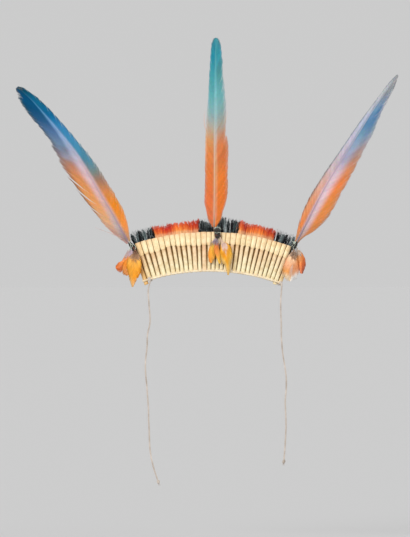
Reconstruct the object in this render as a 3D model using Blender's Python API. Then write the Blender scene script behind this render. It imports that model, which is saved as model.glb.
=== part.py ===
"""Feathered headdress: a fan-shaped band of cane reeds with a fringe of short feathers,
three long tail feathers, small hanging tassels of feathers and two tie cords.

Metres, +Z up. The front of the band faces -Y and the wearer's forehead is on its +Y side.
The origin is the middle of the band's lower edge, on the back face of its backing strip.
"""

import math
import random

import bmesh
import bpy
from mathutils import Vector

MM = 0.001
GAP = 0.3 * MM  # clearance between pieces that touch on the real object

# The band: reeds side by side on an arc, spread like a fan and bent gently round the forehead.
FAN_RADIUS = 308.4 * MM  # of the lower edge, seen from the front
FAN_MIDDLE = -5.6 * MM  # where the top of that arc is, along X
BEND_RADIUS = 330.0 * MM  # round the forehead, about an upright axis
LEAN = 1.1  # how far a reed leans, as a share of its angle on the arc
BAND_HEIGHT = 59.0 * MM
SHOULDER = 41.0 * MM  # where a sleeve begins
BOUND_REED_TOP = 38.0 * MM  # where the slip of a bound end reed stops

BACKING_THICK = 1.2 * MM
BACKING_FOOT = 4.0 * MM
BACKING_TOP = 56.5 * MM
REED_BACK = BACKING_THICK + GAP
SLIP_THICK = 3.0 * MM
SLEEVE_THICK = 4.2 * MM
SLIP_GAP_FOOT = 0.7 * MM  # between two slips at the lower edge
SLIP_GAP_TOP = 1.9 * MM  # and under the sleeves
SLEEVE_FRONT = REED_BACK + SLEEVE_THICK

BASE_CORD_RADIUS = 1.2 * MM
BASE_CORD_HEIGHT = 0.7 * MM
FRONT_CORD_OUT = REED_BACK + SLIP_THICK + GAP + BASE_CORD_RADIUS
BACK_CORD_OUT = REED_BACK - GAP - BASE_CORD_RADIUS

# One row for each reed, left to right: the width of its place in the row, how far its foot
# reaches below the lower edge, and how much higher its sleeve begins, in millimetres.
REED_FIRST = -99.6 * MM  # the row's left end, along the lower edge
REEDS = [
    # width, foot, shoulder
    (7.0, 5.5, 0.0),
    (7.3, 1.0, -3.6),
    (6.9, 0.3, -2.2),
    (6.9, 0.2, -3.6),
    (8.2, 0.3, -3.2),
    (7.1, 0.2, -2.0),
    (7.3, 0.3, 0.3),
    (6.4, 0.2, 0.6),
    (6.1, 0.3, -1.0),
    (6.8, 0.2, -1.6),
    (6.5, 0.3, -1.5),
    (7.2, 0.2, -2.7),
    (5.9, 0.3, -3.2),
    (7.3, 0.2, -2.2),
    (5.9, 0.3, -2.2),
    (5.9, 0.2, -1.1),
    (6.0, 0.3, -0.5),
    (6.0, 0.2, -0.3),
    (5.9, 0.3, -0.5),
    (7.0, 0.2, 0.3),
    (6.3, 0.3, 0.5),
    (6.3, 0.2, 0.1),
    (7.1, 0.3, 1.0),
    (6.2, 0.2, -0.7),
    (6.2, 0.3, -0.1),
    (6.7, 0.2, -0.7),
    (6.2, 0.3, 0.0),
    (6.0, 0.4, -1.3),
    (6.6, 0.3, -2.1),
    (6.0, 0.6, -2.4),
    (6.6, 3.6, -2.3),
    (6.6, 2.2, 0.0),
]

# The fringe, left to right: its reach along the lower edge's arc, the height of its feathers
# above the sleeves, how ragged their tips are, and a taller tuft's place along it, if any.
FRINGE_THICK_FOOT = 3.0 * MM
FRINGE_THICK_TIP = 1.4 * MM
FRINGE_FOOT_OUT = 3.3 * MM
FRINGE_TIP_OUT = 2.4 * MM
FRINGE_STEP = 3.1 * MM
FRINGES = [
    # name, start, end, height, ragged, tuft
    ("fringe_black_left", -92.0, -68.2, 15.5, 3.2, None),
    ("fringe_red_left", -67.6, -11.4, 16.0, 2.2, 0.96),
    ("fringe_black_centre_left", -10.8, 3.4, 16.0, 3.0, None),
    ("fringe_black_centre_right", 9.2, 34.2, 18.5, 3.2, 0.35),
    ("fringe_red_right", 34.8, 80.9, 16.5, 2.6, 0.1),
    ("fringe_black_right", 81.5, 103.0, 13.5, 3.4, 0.75),
]

# The long tail feathers, from the end of the quill to the tip. The width on each side is
# measured square to the shaft, and "back" is how far the feather has swept to the rear.
TAIL_SHAFT = 1.5 * MM
TAIL_EDGE = 0.4 * MM
TAIL_CAMBER = 0.09  # how far a vane's edge drops to the rear, as a share of its width
TAIL_LEFT = [
    # x, z, back, left, right
    (-117.9, 34.2, 0.0, 1.3, 1.3),
    (-125.6, 43.0, 0.8, 4.2, 3.4),
    (-129.8, 49.6, 1.4, 7.4, 6.2),
    (-136.0, 60.0, 2.8, 13.0, 11.4),
    (-145.4, 77.0, 5.2, 19.6, 16.4),
    (-157.0, 97.6, 8.0, 23.8, 18.4),
    (-172.8, 123.6, 11.8, 27.4, 18.4),
    (-191.8, 156.2, 16.5, 30.2, 16.6),
    (-206.8, 178.9, 20.2, 29.6, 13.8),
    (-219.5, 195.7, 23.2, 25.6, 13.2),
    (-235.5, 215.6, 27.0, 20.4, 12.2),
    (-254.0, 237.5, 31.2, 19.4, 11.2),
    (-269.0, 254.3, 34.6, 18.4, 9.0),
    (-285.0, 269.6, 38.0, 14.2, 6.2),
    (-294.6, 275.8, 40.0, 5.6, 3.6),
]
TAIL_CENTRE = [
    # x, z, back, left, right
    (1.9, 59.6, 0.0, 1.5, 1.5),
    (2.1, 66.0, -1.5, 2.6, 3.2),
    (2.3, 78.0, -2.3, 9.2, 10.2),
    (2.4, 92.0, -2.2, 12.4, 14.0),
    (2.5, 106.0, -1.4, 15.2, 18.4),
    (2.7, 120.0, -0.2, 14.6, 20.0),
    (2.9, 150.0, 2.4, 14.4, 20.4),
    (3.2, 190.0, 6.2, 14.5, 20.8),
    (3.3, 207.0, 7.4, 14.4, 16.8),
    (3.5, 235.0, 9.6, 12.2, 16.9),
    (3.7, 264.0, 12.0, 10.8, 15.8),
    (3.9, 293.0, 14.4, 9.4, 12.3),
    (4.3, 321.0, 17.0, 7.8, 10.4),
    (4.7, 340.0, 18.7, 6.6, 7.8),
    (4.9, 350.0, 19.6, 3.2, 3.8),
]
TAIL_RIGHT = [
    # x, z, back, left, right
    (119.9, 32.4, 0.0, 1.3, 1.3),
    (125.6, 42.8, 0.8, 2.8, 3.0),
    (129.8, 51.0, 1.6, 5.0, 5.8),
    (135.0, 61.0, 2.6, 8.4, 11.6),
    (141.9, 74.0, 4.4, 11.8, 20.6),
    (153.2, 96.3, 7.6, 14.2, 28.4),
    (171.0, 129.4, 12.0, 12.6, 28.4),
    (190.5, 161.4, 16.6, 11.0, 27.4),
    (210.6, 193.0, 21.4, 9.6, 22.4),
    (225.8, 217.1, 25.2, 8.4, 20.2),
    (241.0, 241.3, 29.0, 6.4, 15.2),
    (257.0, 264.3, 32.8, 5.4, 10.6),
    (269.3, 281.6, 35.8, 4.8, 7.2),
    (278.9, 295.6, 38.0, 1.6, 1.8),
]

# The small hanging feathers, from the bound end of the quill to the tip. "Out" is how far the
# feather stands in front of the band's back face.
TASSEL_EDGE = 0.3 * MM
TASSEL_SHAFT = 0.6 * MM
TASSELS = {
    "tassel_left_outer": [
        # x, z, out, left, right, thick
        (-121.4, 36.2, 8.4, 1.0, 1.0, 1.0),
        (-126.2, 27.8, 8.8, 3.2, 3.4, 1.4),
        (-129.6, 20.2, 9.0, 4.2, 6.6, 1.2),
        (-133.4, 12.8, 9.2, 4.8, 10.0, 0.8),
        (-138.8, 6.9, 9.4, 7.4, 8.6, 0.6),
        (-144.9, 5.0, 9.5, 4.6, 4.8, 0.4),
    ],
    "tassel_left_middle": [
        # x, z, out, left, right, thick
        (-118.4, 35.4, 10.2, 1.0, 1.0, 1.0),
        (-121.6, 27.4, 10.9, 3.4, 3.4, 1.2),
        (-124.8, 18.0, 11.5, 5.4, 7.0, 0.8),
        (-127.4, 8.4, 11.8, 9.6, 8.0, 0.6),
        (-128.4, 0.0, 12.0, 9.2, 7.0, 0.5),
        (-127.6, -5.4, 12.1, 6.0, 4.2, 0.4),
    ],
    "tassel_left_inner": [
        # x, z, out, left, right, thick
        (-115.8, 35.0, 12.0, 1.2, 1.2, 1.0),
        (-116.0, 28.4, 13.0, 4.6, 4.4, 1.4),
        (-116.4, 21.8, 13.8, 9.6, 8.4, 1.0),
        (-117.2, 15.0, 14.2, 13.0, 10.8, 0.8),
        (-118.0, 5.4, 14.4, 12.6, 11.6, 0.7),
        (-118.8, -4.6, 14.6, 10.2, 10.6, 0.6),
        (-119.6, -14.0, 14.7, 6.2, 5.8, 0.5),
        (-120.3, -23.8, 14.8, 1.4, 1.4, 0.4),
    ],
    "tassel_centre_left": [
        # x, z, out, left, right, thick
        (5.4, 51.0, 8.2, 1.0, 1.0, 1.0),
        (2.6, 43.0, 8.6, 2.8, 2.8, 1.2),
        (0.0, 35.0, 8.9, 4.6, 5.0, 1.0),
        (-1.4, 27.0, 9.1, 5.4, 6.0, 0.7),
        (-2.0, 19.0, 9.2, 4.8, 5.2, 0.6),
        (-2.6, 12.4, 9.3, 1.5, 1.5, 0.4),
    ],
    "tassel_centre_middle": [
        # x, z, out, left, right, thick
        (8.2, 51.0, 10.4, 1.0, 1.0, 0.9),
        (6.2, 42.6, 10.8, 2.4, 2.4, 1.0),
        (5.8, 33.6, 11.2, 4.0, 4.4, 0.8),
        (8.4, 23.4, 11.4, 3.8, 4.2, 0.6),
        (10.8, 11.6, 11.6, 1.3, 1.3, 0.4),
    ],
    "tassel_centre_right": [
        # x, z, out, left, right, thick
        (11.0, 51.4, 12.6, 1.0, 1.0, 1.0),
        (14.2, 43.6, 13.1, 3.2, 3.4, 1.4),
        (17.6, 36.0, 13.5, 6.4, 9.2, 1.1),
        (19.8, 27.6, 13.8, 9.2, 10.4, 0.8),
        (21.6, 17.6, 14.0, 9.0, 8.8, 0.7),
        (23.0, 6.4, 14.1, 4.0, 3.6, 0.5),
        (23.6, -5.6, 14.2, 1.4, 1.4, 0.4),
    ],
    "tassel_right_inner": [
        # x, z, out, left, right, thick
        (121.6, 37.0, 11.4, 1.2, 1.2, 1.0),
        (122.4, 29.0, 12.0, 4.0, 4.0, 1.4),
        (121.0, 20.0, 12.6, 9.0, 8.6, 1.0),
        (119.2, 9.6, 13.0, 11.8, 12.2, 0.8),
        (117.4, 0.6, 13.2, 13.8, 14.8, 0.6),
        (116.8, -7.4, 13.3, 12.0, 12.8, 0.5),
        (116.6, -13.6, 13.3, 7.4, 9.0, 0.4),
    ],
    "tassel_right_outer": [
        # x, z, out, left, right, thick
        (124.8, 37.8, 8.6, 1.0, 1.0, 1.0),
        (128.6, 30.8, 8.9, 2.8, 2.8, 1.4),
        (131.6, 23.4, 9.2, 5.6, 5.8, 1.0),
        (133.4, 14.4, 9.4, 7.2, 7.8, 0.7),
        (133.6, 5.2, 9.6, 6.6, 7.0, 0.5),
        (133.8, -3.2, 9.7, 2.4, 2.4, 0.4),
    ],
}

# The thread bindings: squat wrapped plugs, as rings from the lower end to the upper one.
BINDINGS = {
    "binding_left": [
        # arc, up, out, half width, half depth
        (-96.1, 38.4, 3.3, 2.7, 2.0),
        (-96.1, 40.5, 3.4, 3.4, 2.9),
        (-96.1, 45.0, 3.6, 3.7, 3.2),
        (-96.1, 49.0, 3.6, 3.3, 3.0),
        (-96.1, 51.6, 3.5, 2.2, 2.0),
    ],
    "binding_centre": [
        # arc, up, out, half width, half depth
        (9.0, 52.4, 8.6, 1.8, 1.6),
        (9.0, 54.4, 8.8, 2.6, 2.4),
        (9.1, 58.0, 8.9, 2.9, 2.6),
        (9.2, 61.6, 8.8, 3.2, 2.7),
        (9.3, 64.6, 8.6, 1.9, 1.7),
    ],
    "binding_right": [
        # arc, up, out, half width, half depth
        (107.4, 38.4, 3.3, 2.7, 2.0),
        (107.4, 40.5, 3.4, 3.4, 2.9),
        (107.4, 45.0, 3.6, 3.7, 3.2),
        (107.4, 49.0, 3.6, 3.3, 3.0),
        (107.4, 51.6, 3.5, 2.2, 2.0),
    ],
}

# The tie cords: where each one hangs from the rim, through to its knot.
TIE_RADIUS = 1.1 * MM
TIE_STEP = 5.2 * MM
KNOT_LENGTH = 7.6 * MM
KNOT_RADIUS = 2.6 * MM
TIES = {
    "left": [
        # x, y, z
        (-93.6, 3.8, -15.2),
        (-95.2, 3.4, -21.0),
        (-96.7, 3.2, -31.0),
        (-95.4, 3.8, -50.4),
        (-93.8, 4.6, -75.3),
        (-97.7, 5.2, -95.3),
        (-98.3, 5.4, -112.7),
        (-100.5, 5.0, -133.8),
        (-100.7, 4.4, -150.0),
        (-98.7, 4.0, -172.4),
        (-97.4, 4.2, -190.2),
        (-96.3, 4.8, -206.4),
        (-96.0, 5.4, -222.9),
        (-95.1, 5.8, -241.2),
        (-94.3, 5.6, -263.2),
        (-92.0, 5.0, -280.2),
        (-88.1, 4.4, -296.4),
        (-82.9, 4.0, -312.0),
    ],
    "right": [
        # x, y, z
        (103.9, 6.8, -20.8),
        (103.3, 6.2, -30.0),
        (102.2, 5.8, -44.0),
        (102.3, 6.2, -60.0),
        (103.1, 7.0, -80.0),
        (103.3, 7.6, -98.7),
        (105.2, 8.0, -122.7),
        (108.5, 7.6, -143.0),
        (110.5, 7.0, -160.0),
        (110.5, 6.6, -177.0),
        (109.0, 6.8, -195.0),
        (109.7, 7.4, -213.0),
        (110.2, 8.0, -231.0),
        (109.5, 8.2, -249.3),
        (108.7, 7.8, -263.0),
        (107.3, 7.4, -281.6),
    ],
}

COLOURS = {
    # name: (red, green, blue), roughness
    "cane": ((0.80, 0.66, 0.42), 0.55),
    "bark": ((0.12, 0.06, 0.025), 0.85),
    "cord": ((0.66, 0.50, 0.38), 0.85),
    "thread": ((0.06, 0.035, 0.03), 0.8),
    "black_feather": ((0.012, 0.016, 0.018), 0.5),
    "red_feather": ((0.62, 0.11, 0.02), 0.6),
    "macaw_feather": ((0.70, 0.26, 0.06), 0.5),
    "yellow_feather": ((0.85, 0.40, 0.05), 0.6),
}


def clear_scene():
    for thing in list(bpy.data.objects):
        bpy.data.objects.remove(thing, do_unlink=True)


def make_materials():
    made = {}
    for name, (colour, roughness) in COLOURS.items():
        material = bpy.data.materials.new(name)
        material.use_nodes = True
        shader = material.node_tree.nodes["Principled BSDF"]
        shader.inputs["Base Color"].default_value = (*colour, 1.0)
        shader.inputs["Roughness"].default_value = roughness
        shader.inputs["Metallic"].default_value = 0.0
        made[name] = material
    return made


def bend_back(x):
    """How far the band's back face has turned to the rear at x."""
    aside = x - FAN_MIDDLE
    return BEND_RADIUS - math.sqrt(BEND_RADIUS**2 - aside**2)


def ahead_of_band(x, out):
    """The y of a place at x that stands this far out from the band's back face."""
    return BEND_RADIUS - math.sqrt((BEND_RADIUS + out) ** 2 - (x - FAN_MIDDLE) ** 2)


def outward(x):
    """The direction that the front of the band faces at x."""
    turn = math.asin((x - FAN_MIDDLE) / BEND_RADIUS)
    return Vector((math.sin(turn), -math.cos(turn), 0.0))


def reed_line(arc):
    """The foot and the direction of the line that a reed at this place follows."""
    turn = arc / FAN_RADIUS
    foot_x = FAN_MIDDLE + FAN_RADIUS * math.sin(turn)
    foot_z = FAN_RADIUS * (math.cos(turn) - 1.0)
    top_x = foot_x + BAND_HEIGHT * math.sin(LEAN * turn)
    top_z = foot_z + BAND_HEIGHT * math.cos(LEAN * turn)
    foot = Vector((foot_x, bend_back(foot_x), foot_z))
    top = Vector((top_x, bend_back(top_x), top_z))
    return foot, (top - foot).normalized()


def band_frame(arc, up):
    """The point of the band's back face there, and its directions across, up and out."""
    foot, rising = reed_line(arc)
    point = foot + rising * up
    out = outward(point.x)
    across = rising.cross(out).normalized()
    return point, across, rising, across.cross(rising)


def on_band(arc, up, out=0.0, aside=0.0):
    point, across, _, front = band_frame(arc, up)
    return point + across * aside + front * out


def spread(up):
    """How much wider a reed's place in the row is at this height than at the lower edge."""
    return 1.0 + LEAN * up / FAN_RADIUS


def smooth_table(rows, count):
    """Rows of numbers read at evenly spaced places along a smooth curve through them."""
    result = []
    for k in range(count):
        place = k / (count - 1) * (len(rows) - 1)
        at = min(int(place), len(rows) - 2)
        part = place - at
        before = rows[max(at - 1, 0)]
        here = rows[at]
        after = rows[at + 1]
        beyond = rows[min(at + 2, len(rows) - 1)]
        row = []
        for a, b, c, d in zip(before, here, after, beyond):
            pull = (c - a) * part
            turn = (2 * a - 5 * b + 4 * c - d) * part**2
            settle = (3 * b - a - 3 * c + d) * part**3
            row.append(b + 0.5 * (pull + turn + settle))
        result.append(tuple(row))
    return result


def loft(name, rings, material):
    """One closed solid through rings that have the same number of points each."""
    shape = bmesh.new()
    rows = [[shape.verts.new(point) for point in ring] for ring in rings]
    around = len(rows[0])
    for lower, upper in zip(rows, rows[1:]):
        for k in range(around):
            n = (k + 1) % around
            shape.faces.new((lower[k], lower[n], upper[n], upper[k]))
    shape.faces.new(rows[0])
    shape.faces.new(rows[-1])
    bmesh.ops.recalc_face_normals(shape, faces=shape.faces)
    mesh = bpy.data.meshes.new(name)
    shape.to_mesh(mesh)
    shape.free()
    mesh.materials.append(material)
    thing = bpy.data.objects.new(name, mesh)
    bpy.context.collection.objects.link(thing)
    return thing


def tube(name, points, radius, material):
    """A solid cord through the points."""
    curve = bpy.data.curves.new(name, "CURVE")
    curve.dimensions = "3D"
    curve.bevel_depth = radius
    curve.bevel_resolution = 2
    curve.use_fill_caps = True
    spline = curve.splines.new("POLY")
    spline.points.add(len(points) - 1)
    for knot, point in zip(spline.points, points):
        knot.co = (*point, 1.0)
    curve.materials.append(material)
    thing = bpy.data.objects.new(name, curve)
    bpy.context.collection.objects.link(thing)
    return thing


def reed_ring(arc, up, half, thick):
    """A flat back and a rounded front, seen along the reed."""
    outline = [
        (-1.0, 0.0),
        (1.0, 0.0),
        (1.0, 0.55),
        (0.62, 0.90),
        (0.0, 1.0),
        (-0.62, 0.90),
        (-1.0, 0.55),
    ]
    return [on_band(arc, up, REED_BACK + thick * deep, half * aside) for aside, deep in outline]


def slip_half(width, up):
    """Half the width of a slip, which narrows upwards as its neighbours spread apart."""
    share = up / SHOULDER
    gap = SLIP_GAP_FOOT + (SLIP_GAP_TOP - SLIP_GAP_FOOT) * share
    return 0.5 * (width * spread(up) - gap)


def make_reeds(material):
    arc = REED_FIRST
    for number, (width, foot, shoulder) in enumerate(REEDS, start=1):
        place = width * MM
        middle = arc + 0.5 * place
        arc += place
        low = -foot * MM
        slip_low = slip_half(place, 0.0)
        rings = [
            reed_ring(middle, low, 0.72 * slip_low, 0.6 * SLIP_THICK),
            reed_ring(middle, low + 1.0 * MM, slip_low, SLIP_THICK),
        ]
        if number in (1, len(REEDS)):
            high = slip_half(place, BOUND_REED_TOP)
            rings.append(reed_ring(middle, BOUND_REED_TOP, high, SLIP_THICK))
        else:
            start = SHOULDER + shoulder * MM
            high = slip_half(place, start)
            full = 0.5 * (place * spread(start + 2.0 * MM) - GAP)
            top = 0.5 * (place * spread(BAND_HEIGHT) - GAP)
            rings.append(reed_ring(middle, start, high, SLIP_THICK))
            rings.append(reed_ring(middle, start + 2.0 * MM, full, SLEEVE_THICK))
            rings.append(reed_ring(middle, BAND_HEIGHT, top, SLEEVE_THICK))
        loft(f"reed_{number:02d}", rings, material)


def reed_edges():
    """The left edge of each reed's place along the lower arc, and the row's right end."""
    edges = [REED_FIRST]
    for width, _, _ in REEDS:
        edges.append(edges[-1] + width * MM)
    return edges


def make_backing(material):
    """A bark strip behind every reed except the two bound end ones."""
    edges = reed_edges()
    rings = []
    for arc in edges[1:-1]:
        rings.append(
            [
                on_band(arc, BACKING_FOOT, 0.0),
                on_band(arc, BACKING_TOP, 0.0),
                on_band(arc, BACKING_TOP, BACKING_THICK),
                on_band(arc, BACKING_FOOT, BACKING_THICK),
            ]
        )
    loft("backing_strip", rings, material)


def make_base_cords(material):
    edges = reed_edges()
    for name, out in (("base_cord_front", FRONT_CORD_OUT), ("base_cord_back", BACK_CORD_OUT)):
        tube(name, [on_band(arc, BASE_CORD_HEIGHT, out) for arc in edges], BASE_CORD_RADIUS, material)


def make_fringes(materials):
    foot = BAND_HEIGHT + GAP
    rng = random.Random(4)
    for name, start, end, height, ragged, tuft in FRINGES:
        count = max(round((end - start) * MM / FRINGE_STEP), 3)
        rings = []
        for k in range(count + 1):
            share = k / count
            arc = (start + (end - start) * share) * MM
            tall = height + ragged * rng.uniform(-1.0, 1.0)
            if tuft is not None:
                tall += 4.0 * math.exp(-(((share - tuft) * count / 1.2) ** 2))
            tip = foot + tall * MM
            rings.append(
                [
                    on_band(arc, foot, FRINGE_FOOT_OUT - 0.5 * FRINGE_THICK_FOOT),
                    on_band(arc, foot, FRINGE_FOOT_OUT + 0.5 * FRINGE_THICK_FOOT),
                    on_band(arc, tip, FRINGE_TIP_OUT + 0.5 * FRINGE_THICK_TIP),
                    on_band(arc, tip, FRINGE_TIP_OUT - 0.5 * FRINGE_THICK_TIP),
                ]
            )
        colour = "black_feather" if "black" in name else "red_feather"
        loft(name, rings, materials[colour])


def vane_ring(point, side, front, left, right, shaft, edge, camber):
    """A slender lens across a feather: its shaft in the middle, both edges swept to the rear."""
    near = []
    far = []
    for share in (-1.0, -0.5, 0.0, 0.5, 1.0):
        width = left if share < 0 else right
        depth = edge + (shaft - edge) * (1.0 - abs(share))
        centre = point + side * (share * width) - front * (camber * width * share**2)
        near.append(centre + front * depth)
        far.append(centre - front * depth)
    return near + far[::-1]


def make_tail(name, rows, material):
    stations = smooth_table(rows, 3 * len(rows) - 2)
    middle = REED_BACK + 0.5 * SLEEVE_THICK
    root_x = rows[0][0] * MM
    root_back = bend_back(root_x)
    front = outward(root_x)
    root = Vector((root_x, root_back, 0.0)) + front * middle
    points = [Vector((x * MM, root.y + back * MM, z * MM)) for x, z, back, _, _ in stations]
    rings = []
    for k, (_, _, _, left, right) in enumerate(stations):
        along = (points[min(k + 1, len(points) - 1)] - points[max(k - 1, 0)]).normalized()
        side = along.cross(front).normalized()
        facing = side.cross(along)
        fade = 1.0 - 0.6 * k / (len(stations) - 1)
        grown = min(left * MM / (6 * MM), 1.0)
        rings.append(
            vane_ring(
                points[k],
                side,
                facing,
                left * MM,
                right * MM,
                TAIL_SHAFT * fade,
                TAIL_EDGE,
                TAIL_CAMBER * grown,
            )
        )
    loft(name, rings, material)


def make_tassel(name, rows, material):
    stations = smooth_table(rows, 2 * len(rows) - 1)
    points = []
    for x, z, out, _, _, _ in stations:
        points.append(Vector((x * MM, ahead_of_band(x * MM, out * MM), z * MM)))
    rings = []
    for k, (x, _, _, left, right, thick) in enumerate(stations):
        along = (points[max(k - 1, 0)] - points[min(k + 1, len(points) - 1)]).normalized()
        side = along.cross(outward(x * MM)).normalized()
        facing = side.cross(along)
        shaft = TASSEL_SHAFT + 0.5 * thick * MM
        rings.append(vane_ring(points[k], side, facing, left * MM, right * MM, shaft, TASSEL_EDGE, 0.0))
    loft(name, rings, material)


def make_binding(name, rows, material):
    sides = 10
    rings = []
    for arc, up, out, half_width, half_depth in rows:
        ring = []
        for k in range(sides):
            turn = 2.0 * math.pi * k / sides
            aside = half_width * math.cos(turn)
            deep = out + half_depth * math.sin(turn)
            ring.append(on_band(arc * MM, up * MM, deep * MM, aside * MM))
        rings.append(ring)
    loft(name, rings, material)


def tie_route(rows):
    """Evenly spaced points on the smooth curve through a tie's own points."""
    fine = [Vector(row) * MM for row in smooth_table(rows, 40 * len(rows))]
    length = sum((b - a).length for a, b in zip(fine, fine[1:]))
    count = round(length / TIE_STEP)
    route = [fine[0]]
    walked = 0.0
    for a, b in zip(fine, fine[1:]):
        walked += (b - a).length
        if walked >= len(route) * length / count:
            route.append(b)
    route[-1] = fine[-1]
    return route


def make_knot(name, end, direction, material):
    """A small overhand knot, as a rounded bead in line with the cord's end."""
    side = direction.cross(Vector((0.0, 1.0, 0.0))).normalized()
    front = side.cross(direction)
    rings = []
    for k in range(7):
        share = k / 6
        radius = KNOT_RADIUS * math.sin(math.pi * (0.12 + 0.76 * share)) ** 0.7
        centre = end + direction * (GAP + KNOT_LENGTH * share)
        ring = []
        for n in range(10):
            turn = 2.0 * math.pi * n / 10
            ring.append(centre + (side * math.cos(turn) + front * math.sin(turn)) * radius)
        rings.append(ring)
    loft(name, rings, material)


def make_ties(material):
    for name, rows in TIES.items():
        route = tie_route(rows)
        tube(f"tie_{name}", route, TIE_RADIUS, material)
        make_knot(f"knot_{name}", route[-1], (route[-1] - route[-2]).normalized(), material)


def main():
    clear_scene()
    materials = make_materials()
    make_reeds(materials["cane"])
    make_backing(materials["bark"])
    make_base_cords(materials["cord"])
    make_fringes(materials)
    make_tail("tail_feather_left", TAIL_LEFT, materials["macaw_feather"])
    make_tail("tail_feather_centre", TAIL_CENTRE, materials["macaw_feather"])
    make_tail("tail_feather_right", TAIL_RIGHT, materials["macaw_feather"])
    for name, rows in TASSELS.items():
        make_tassel(name, rows, materials["yellow_feather"])
    for name, rows in BINDINGS.items():
        make_binding(name, rows, materials["thread"])
    make_ties(materials["cord"])


main()
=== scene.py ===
"""The looks of the feathered headdress: cane reeds in their sleeves, twisted cord, and
feathers that are built barb by barb, in a plain pale studio."""

import math

import bmesh
import bpy
import numpy as np
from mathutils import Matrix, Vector


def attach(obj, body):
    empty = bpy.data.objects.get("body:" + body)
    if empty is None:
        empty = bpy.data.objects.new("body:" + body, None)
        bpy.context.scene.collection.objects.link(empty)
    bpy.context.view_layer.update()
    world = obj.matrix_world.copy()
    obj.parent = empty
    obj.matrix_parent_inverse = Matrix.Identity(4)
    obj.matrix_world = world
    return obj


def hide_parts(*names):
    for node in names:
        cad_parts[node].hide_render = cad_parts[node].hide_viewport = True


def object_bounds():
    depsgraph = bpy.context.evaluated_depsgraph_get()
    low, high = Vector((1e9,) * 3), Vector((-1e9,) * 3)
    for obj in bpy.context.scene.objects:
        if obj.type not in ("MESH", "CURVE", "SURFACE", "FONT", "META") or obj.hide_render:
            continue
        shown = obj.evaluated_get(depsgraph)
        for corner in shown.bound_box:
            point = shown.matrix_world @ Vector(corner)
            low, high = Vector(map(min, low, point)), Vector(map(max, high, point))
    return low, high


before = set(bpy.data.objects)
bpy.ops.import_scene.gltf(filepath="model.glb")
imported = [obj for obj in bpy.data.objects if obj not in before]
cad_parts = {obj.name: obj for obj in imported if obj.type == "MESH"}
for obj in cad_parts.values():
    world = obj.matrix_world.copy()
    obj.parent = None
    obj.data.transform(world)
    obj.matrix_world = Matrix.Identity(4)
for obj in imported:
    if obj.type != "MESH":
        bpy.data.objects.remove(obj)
CAD_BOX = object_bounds()
bpy.ops.object.select_all(action="DESELECT")

MM = 0.001
RNG = np.random.default_rng(11)

# ------------------------------------------------------------------ the band's driving sizes
# A row of reeds on an arc, spread like a fan and bent gently round the forehead.
FAN_RADIUS = 308.4 * MM
FAN_MIDDLE = -5.6 * MM
BEND_RADIUS = 330.0 * MM
LEAN = 1.1
BAND_HEIGHT = 59.0 * MM
SHOULDER = 41.0 * MM
BOUND_REED_TOP = 38.0 * MM
BACKING_THICK = 1.2 * MM
BACKING_FOOT = 4.0 * MM
BACKING_TOP = 56.5 * MM
BACKING_PAST = 2.5 * MM
REED_BACK = 1.5 * MM
SLIP_THICK = 3.0 * MM
SLEEVE_THICK = 4.2 * MM
SLIP_GAP_FOOT = 0.6 * MM
SLIP_GAP_TOP = 2.6 * MM
SLEEVE_GAP = 0.2 * MM
BASE_CORD_RADIUS = 1.2 * MM
BASE_CORD_HEIGHT = 0.7 * MM
BASE_CORD_OUTS = (6.0 * MM, 0.0)
BASE_CORD_PITCH = 5.0 * MM

REED_FIRST = -99.6 * MM
REEDS = [
    # width, foot, shoulder, blush: how pink the cane is, or how ripe and yellow below zero
    (7.0, 5.5, 0.0, -0.90),
    (7.3, 1.0, -3.6, -0.35),
    (6.9, 0.3, -2.2, 0.00),
    (6.9, 0.2, -3.6, 0.45),
    (8.2, 0.3, -3.2, 0.00),
    (7.1, 0.2, -2.0, 0.00),
    (7.3, 0.3, 0.3, 0.25),
    (6.4, 0.2, 0.6, 0.00),
    (6.1, 0.3, -1.0, 0.05),
    (6.8, 0.2, -1.6, 0.05),
    (6.5, 0.3, -1.5, 0.00),
    (7.2, 0.2, -2.7, 0.60),
    (5.9, 0.3, -3.2, 0.10),
    (7.3, 0.2, -2.2, 0.95),
    (5.9, 0.3, -2.2, 0.15),
    (5.9, 0.2, -1.1, 0.20),
    (6.0, 0.3, -0.5, 0.05),
    (6.0, 0.2, -0.3, 0.20),
    (5.9, 0.3, -0.5, 0.30),
    (7.0, 0.2, 0.3, 0.45),
    (6.3, 0.3, 0.5, -0.25),
    (6.3, 0.2, 0.1, 0.10),
    (7.1, 0.3, 1.0, 0.00),
    (6.2, 0.2, -0.7, 0.05),
    (6.2, 0.3, -0.1, 0.30),
    (6.7, 0.2, -0.7, 0.35),
    (6.2, 0.3, 0.0, 0.25),
    (6.0, 0.4, -1.3, 0.00),
    (6.6, 0.3, -2.1, 0.05),
    (6.0, 0.6, -2.4, 0.00),
    (6.6, 3.6, -2.3, 0.10),
    (6.6, 2.2, 0.0, -0.40),
]

# Towards the right end the reeds are set closer together, by this much at the shoulder.
CLOSER_REEDS = (25, 30)
CLOSER_BY = 0.55  # in millimetres

FRINGE_FOOT_OUT = 3.3 * MM
FRINGE_TIP_OUT = 2.4 * MM
FRINGES = [
    # name, start, end, height, ragged, tuft
    ("fringe_black_left", -92.0, -68.2, 15.5, 3.2, None),
    ("fringe_red_left", -67.6, -11.4, 16.0, 2.2, 0.96),
    ("fringe_black_centre_left", -10.8, 3.4, 16.0, 3.0, None),
    ("fringe_black_centre_right", 9.2, 34.2, 18.5, 3.2, 0.35),
    ("fringe_red_right", 34.8, 80.9, 16.5, 2.6, 0.1),
    ("fringe_black_right", 81.5, 103.0, 13.0, 4.6, 0.75),
]

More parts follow.
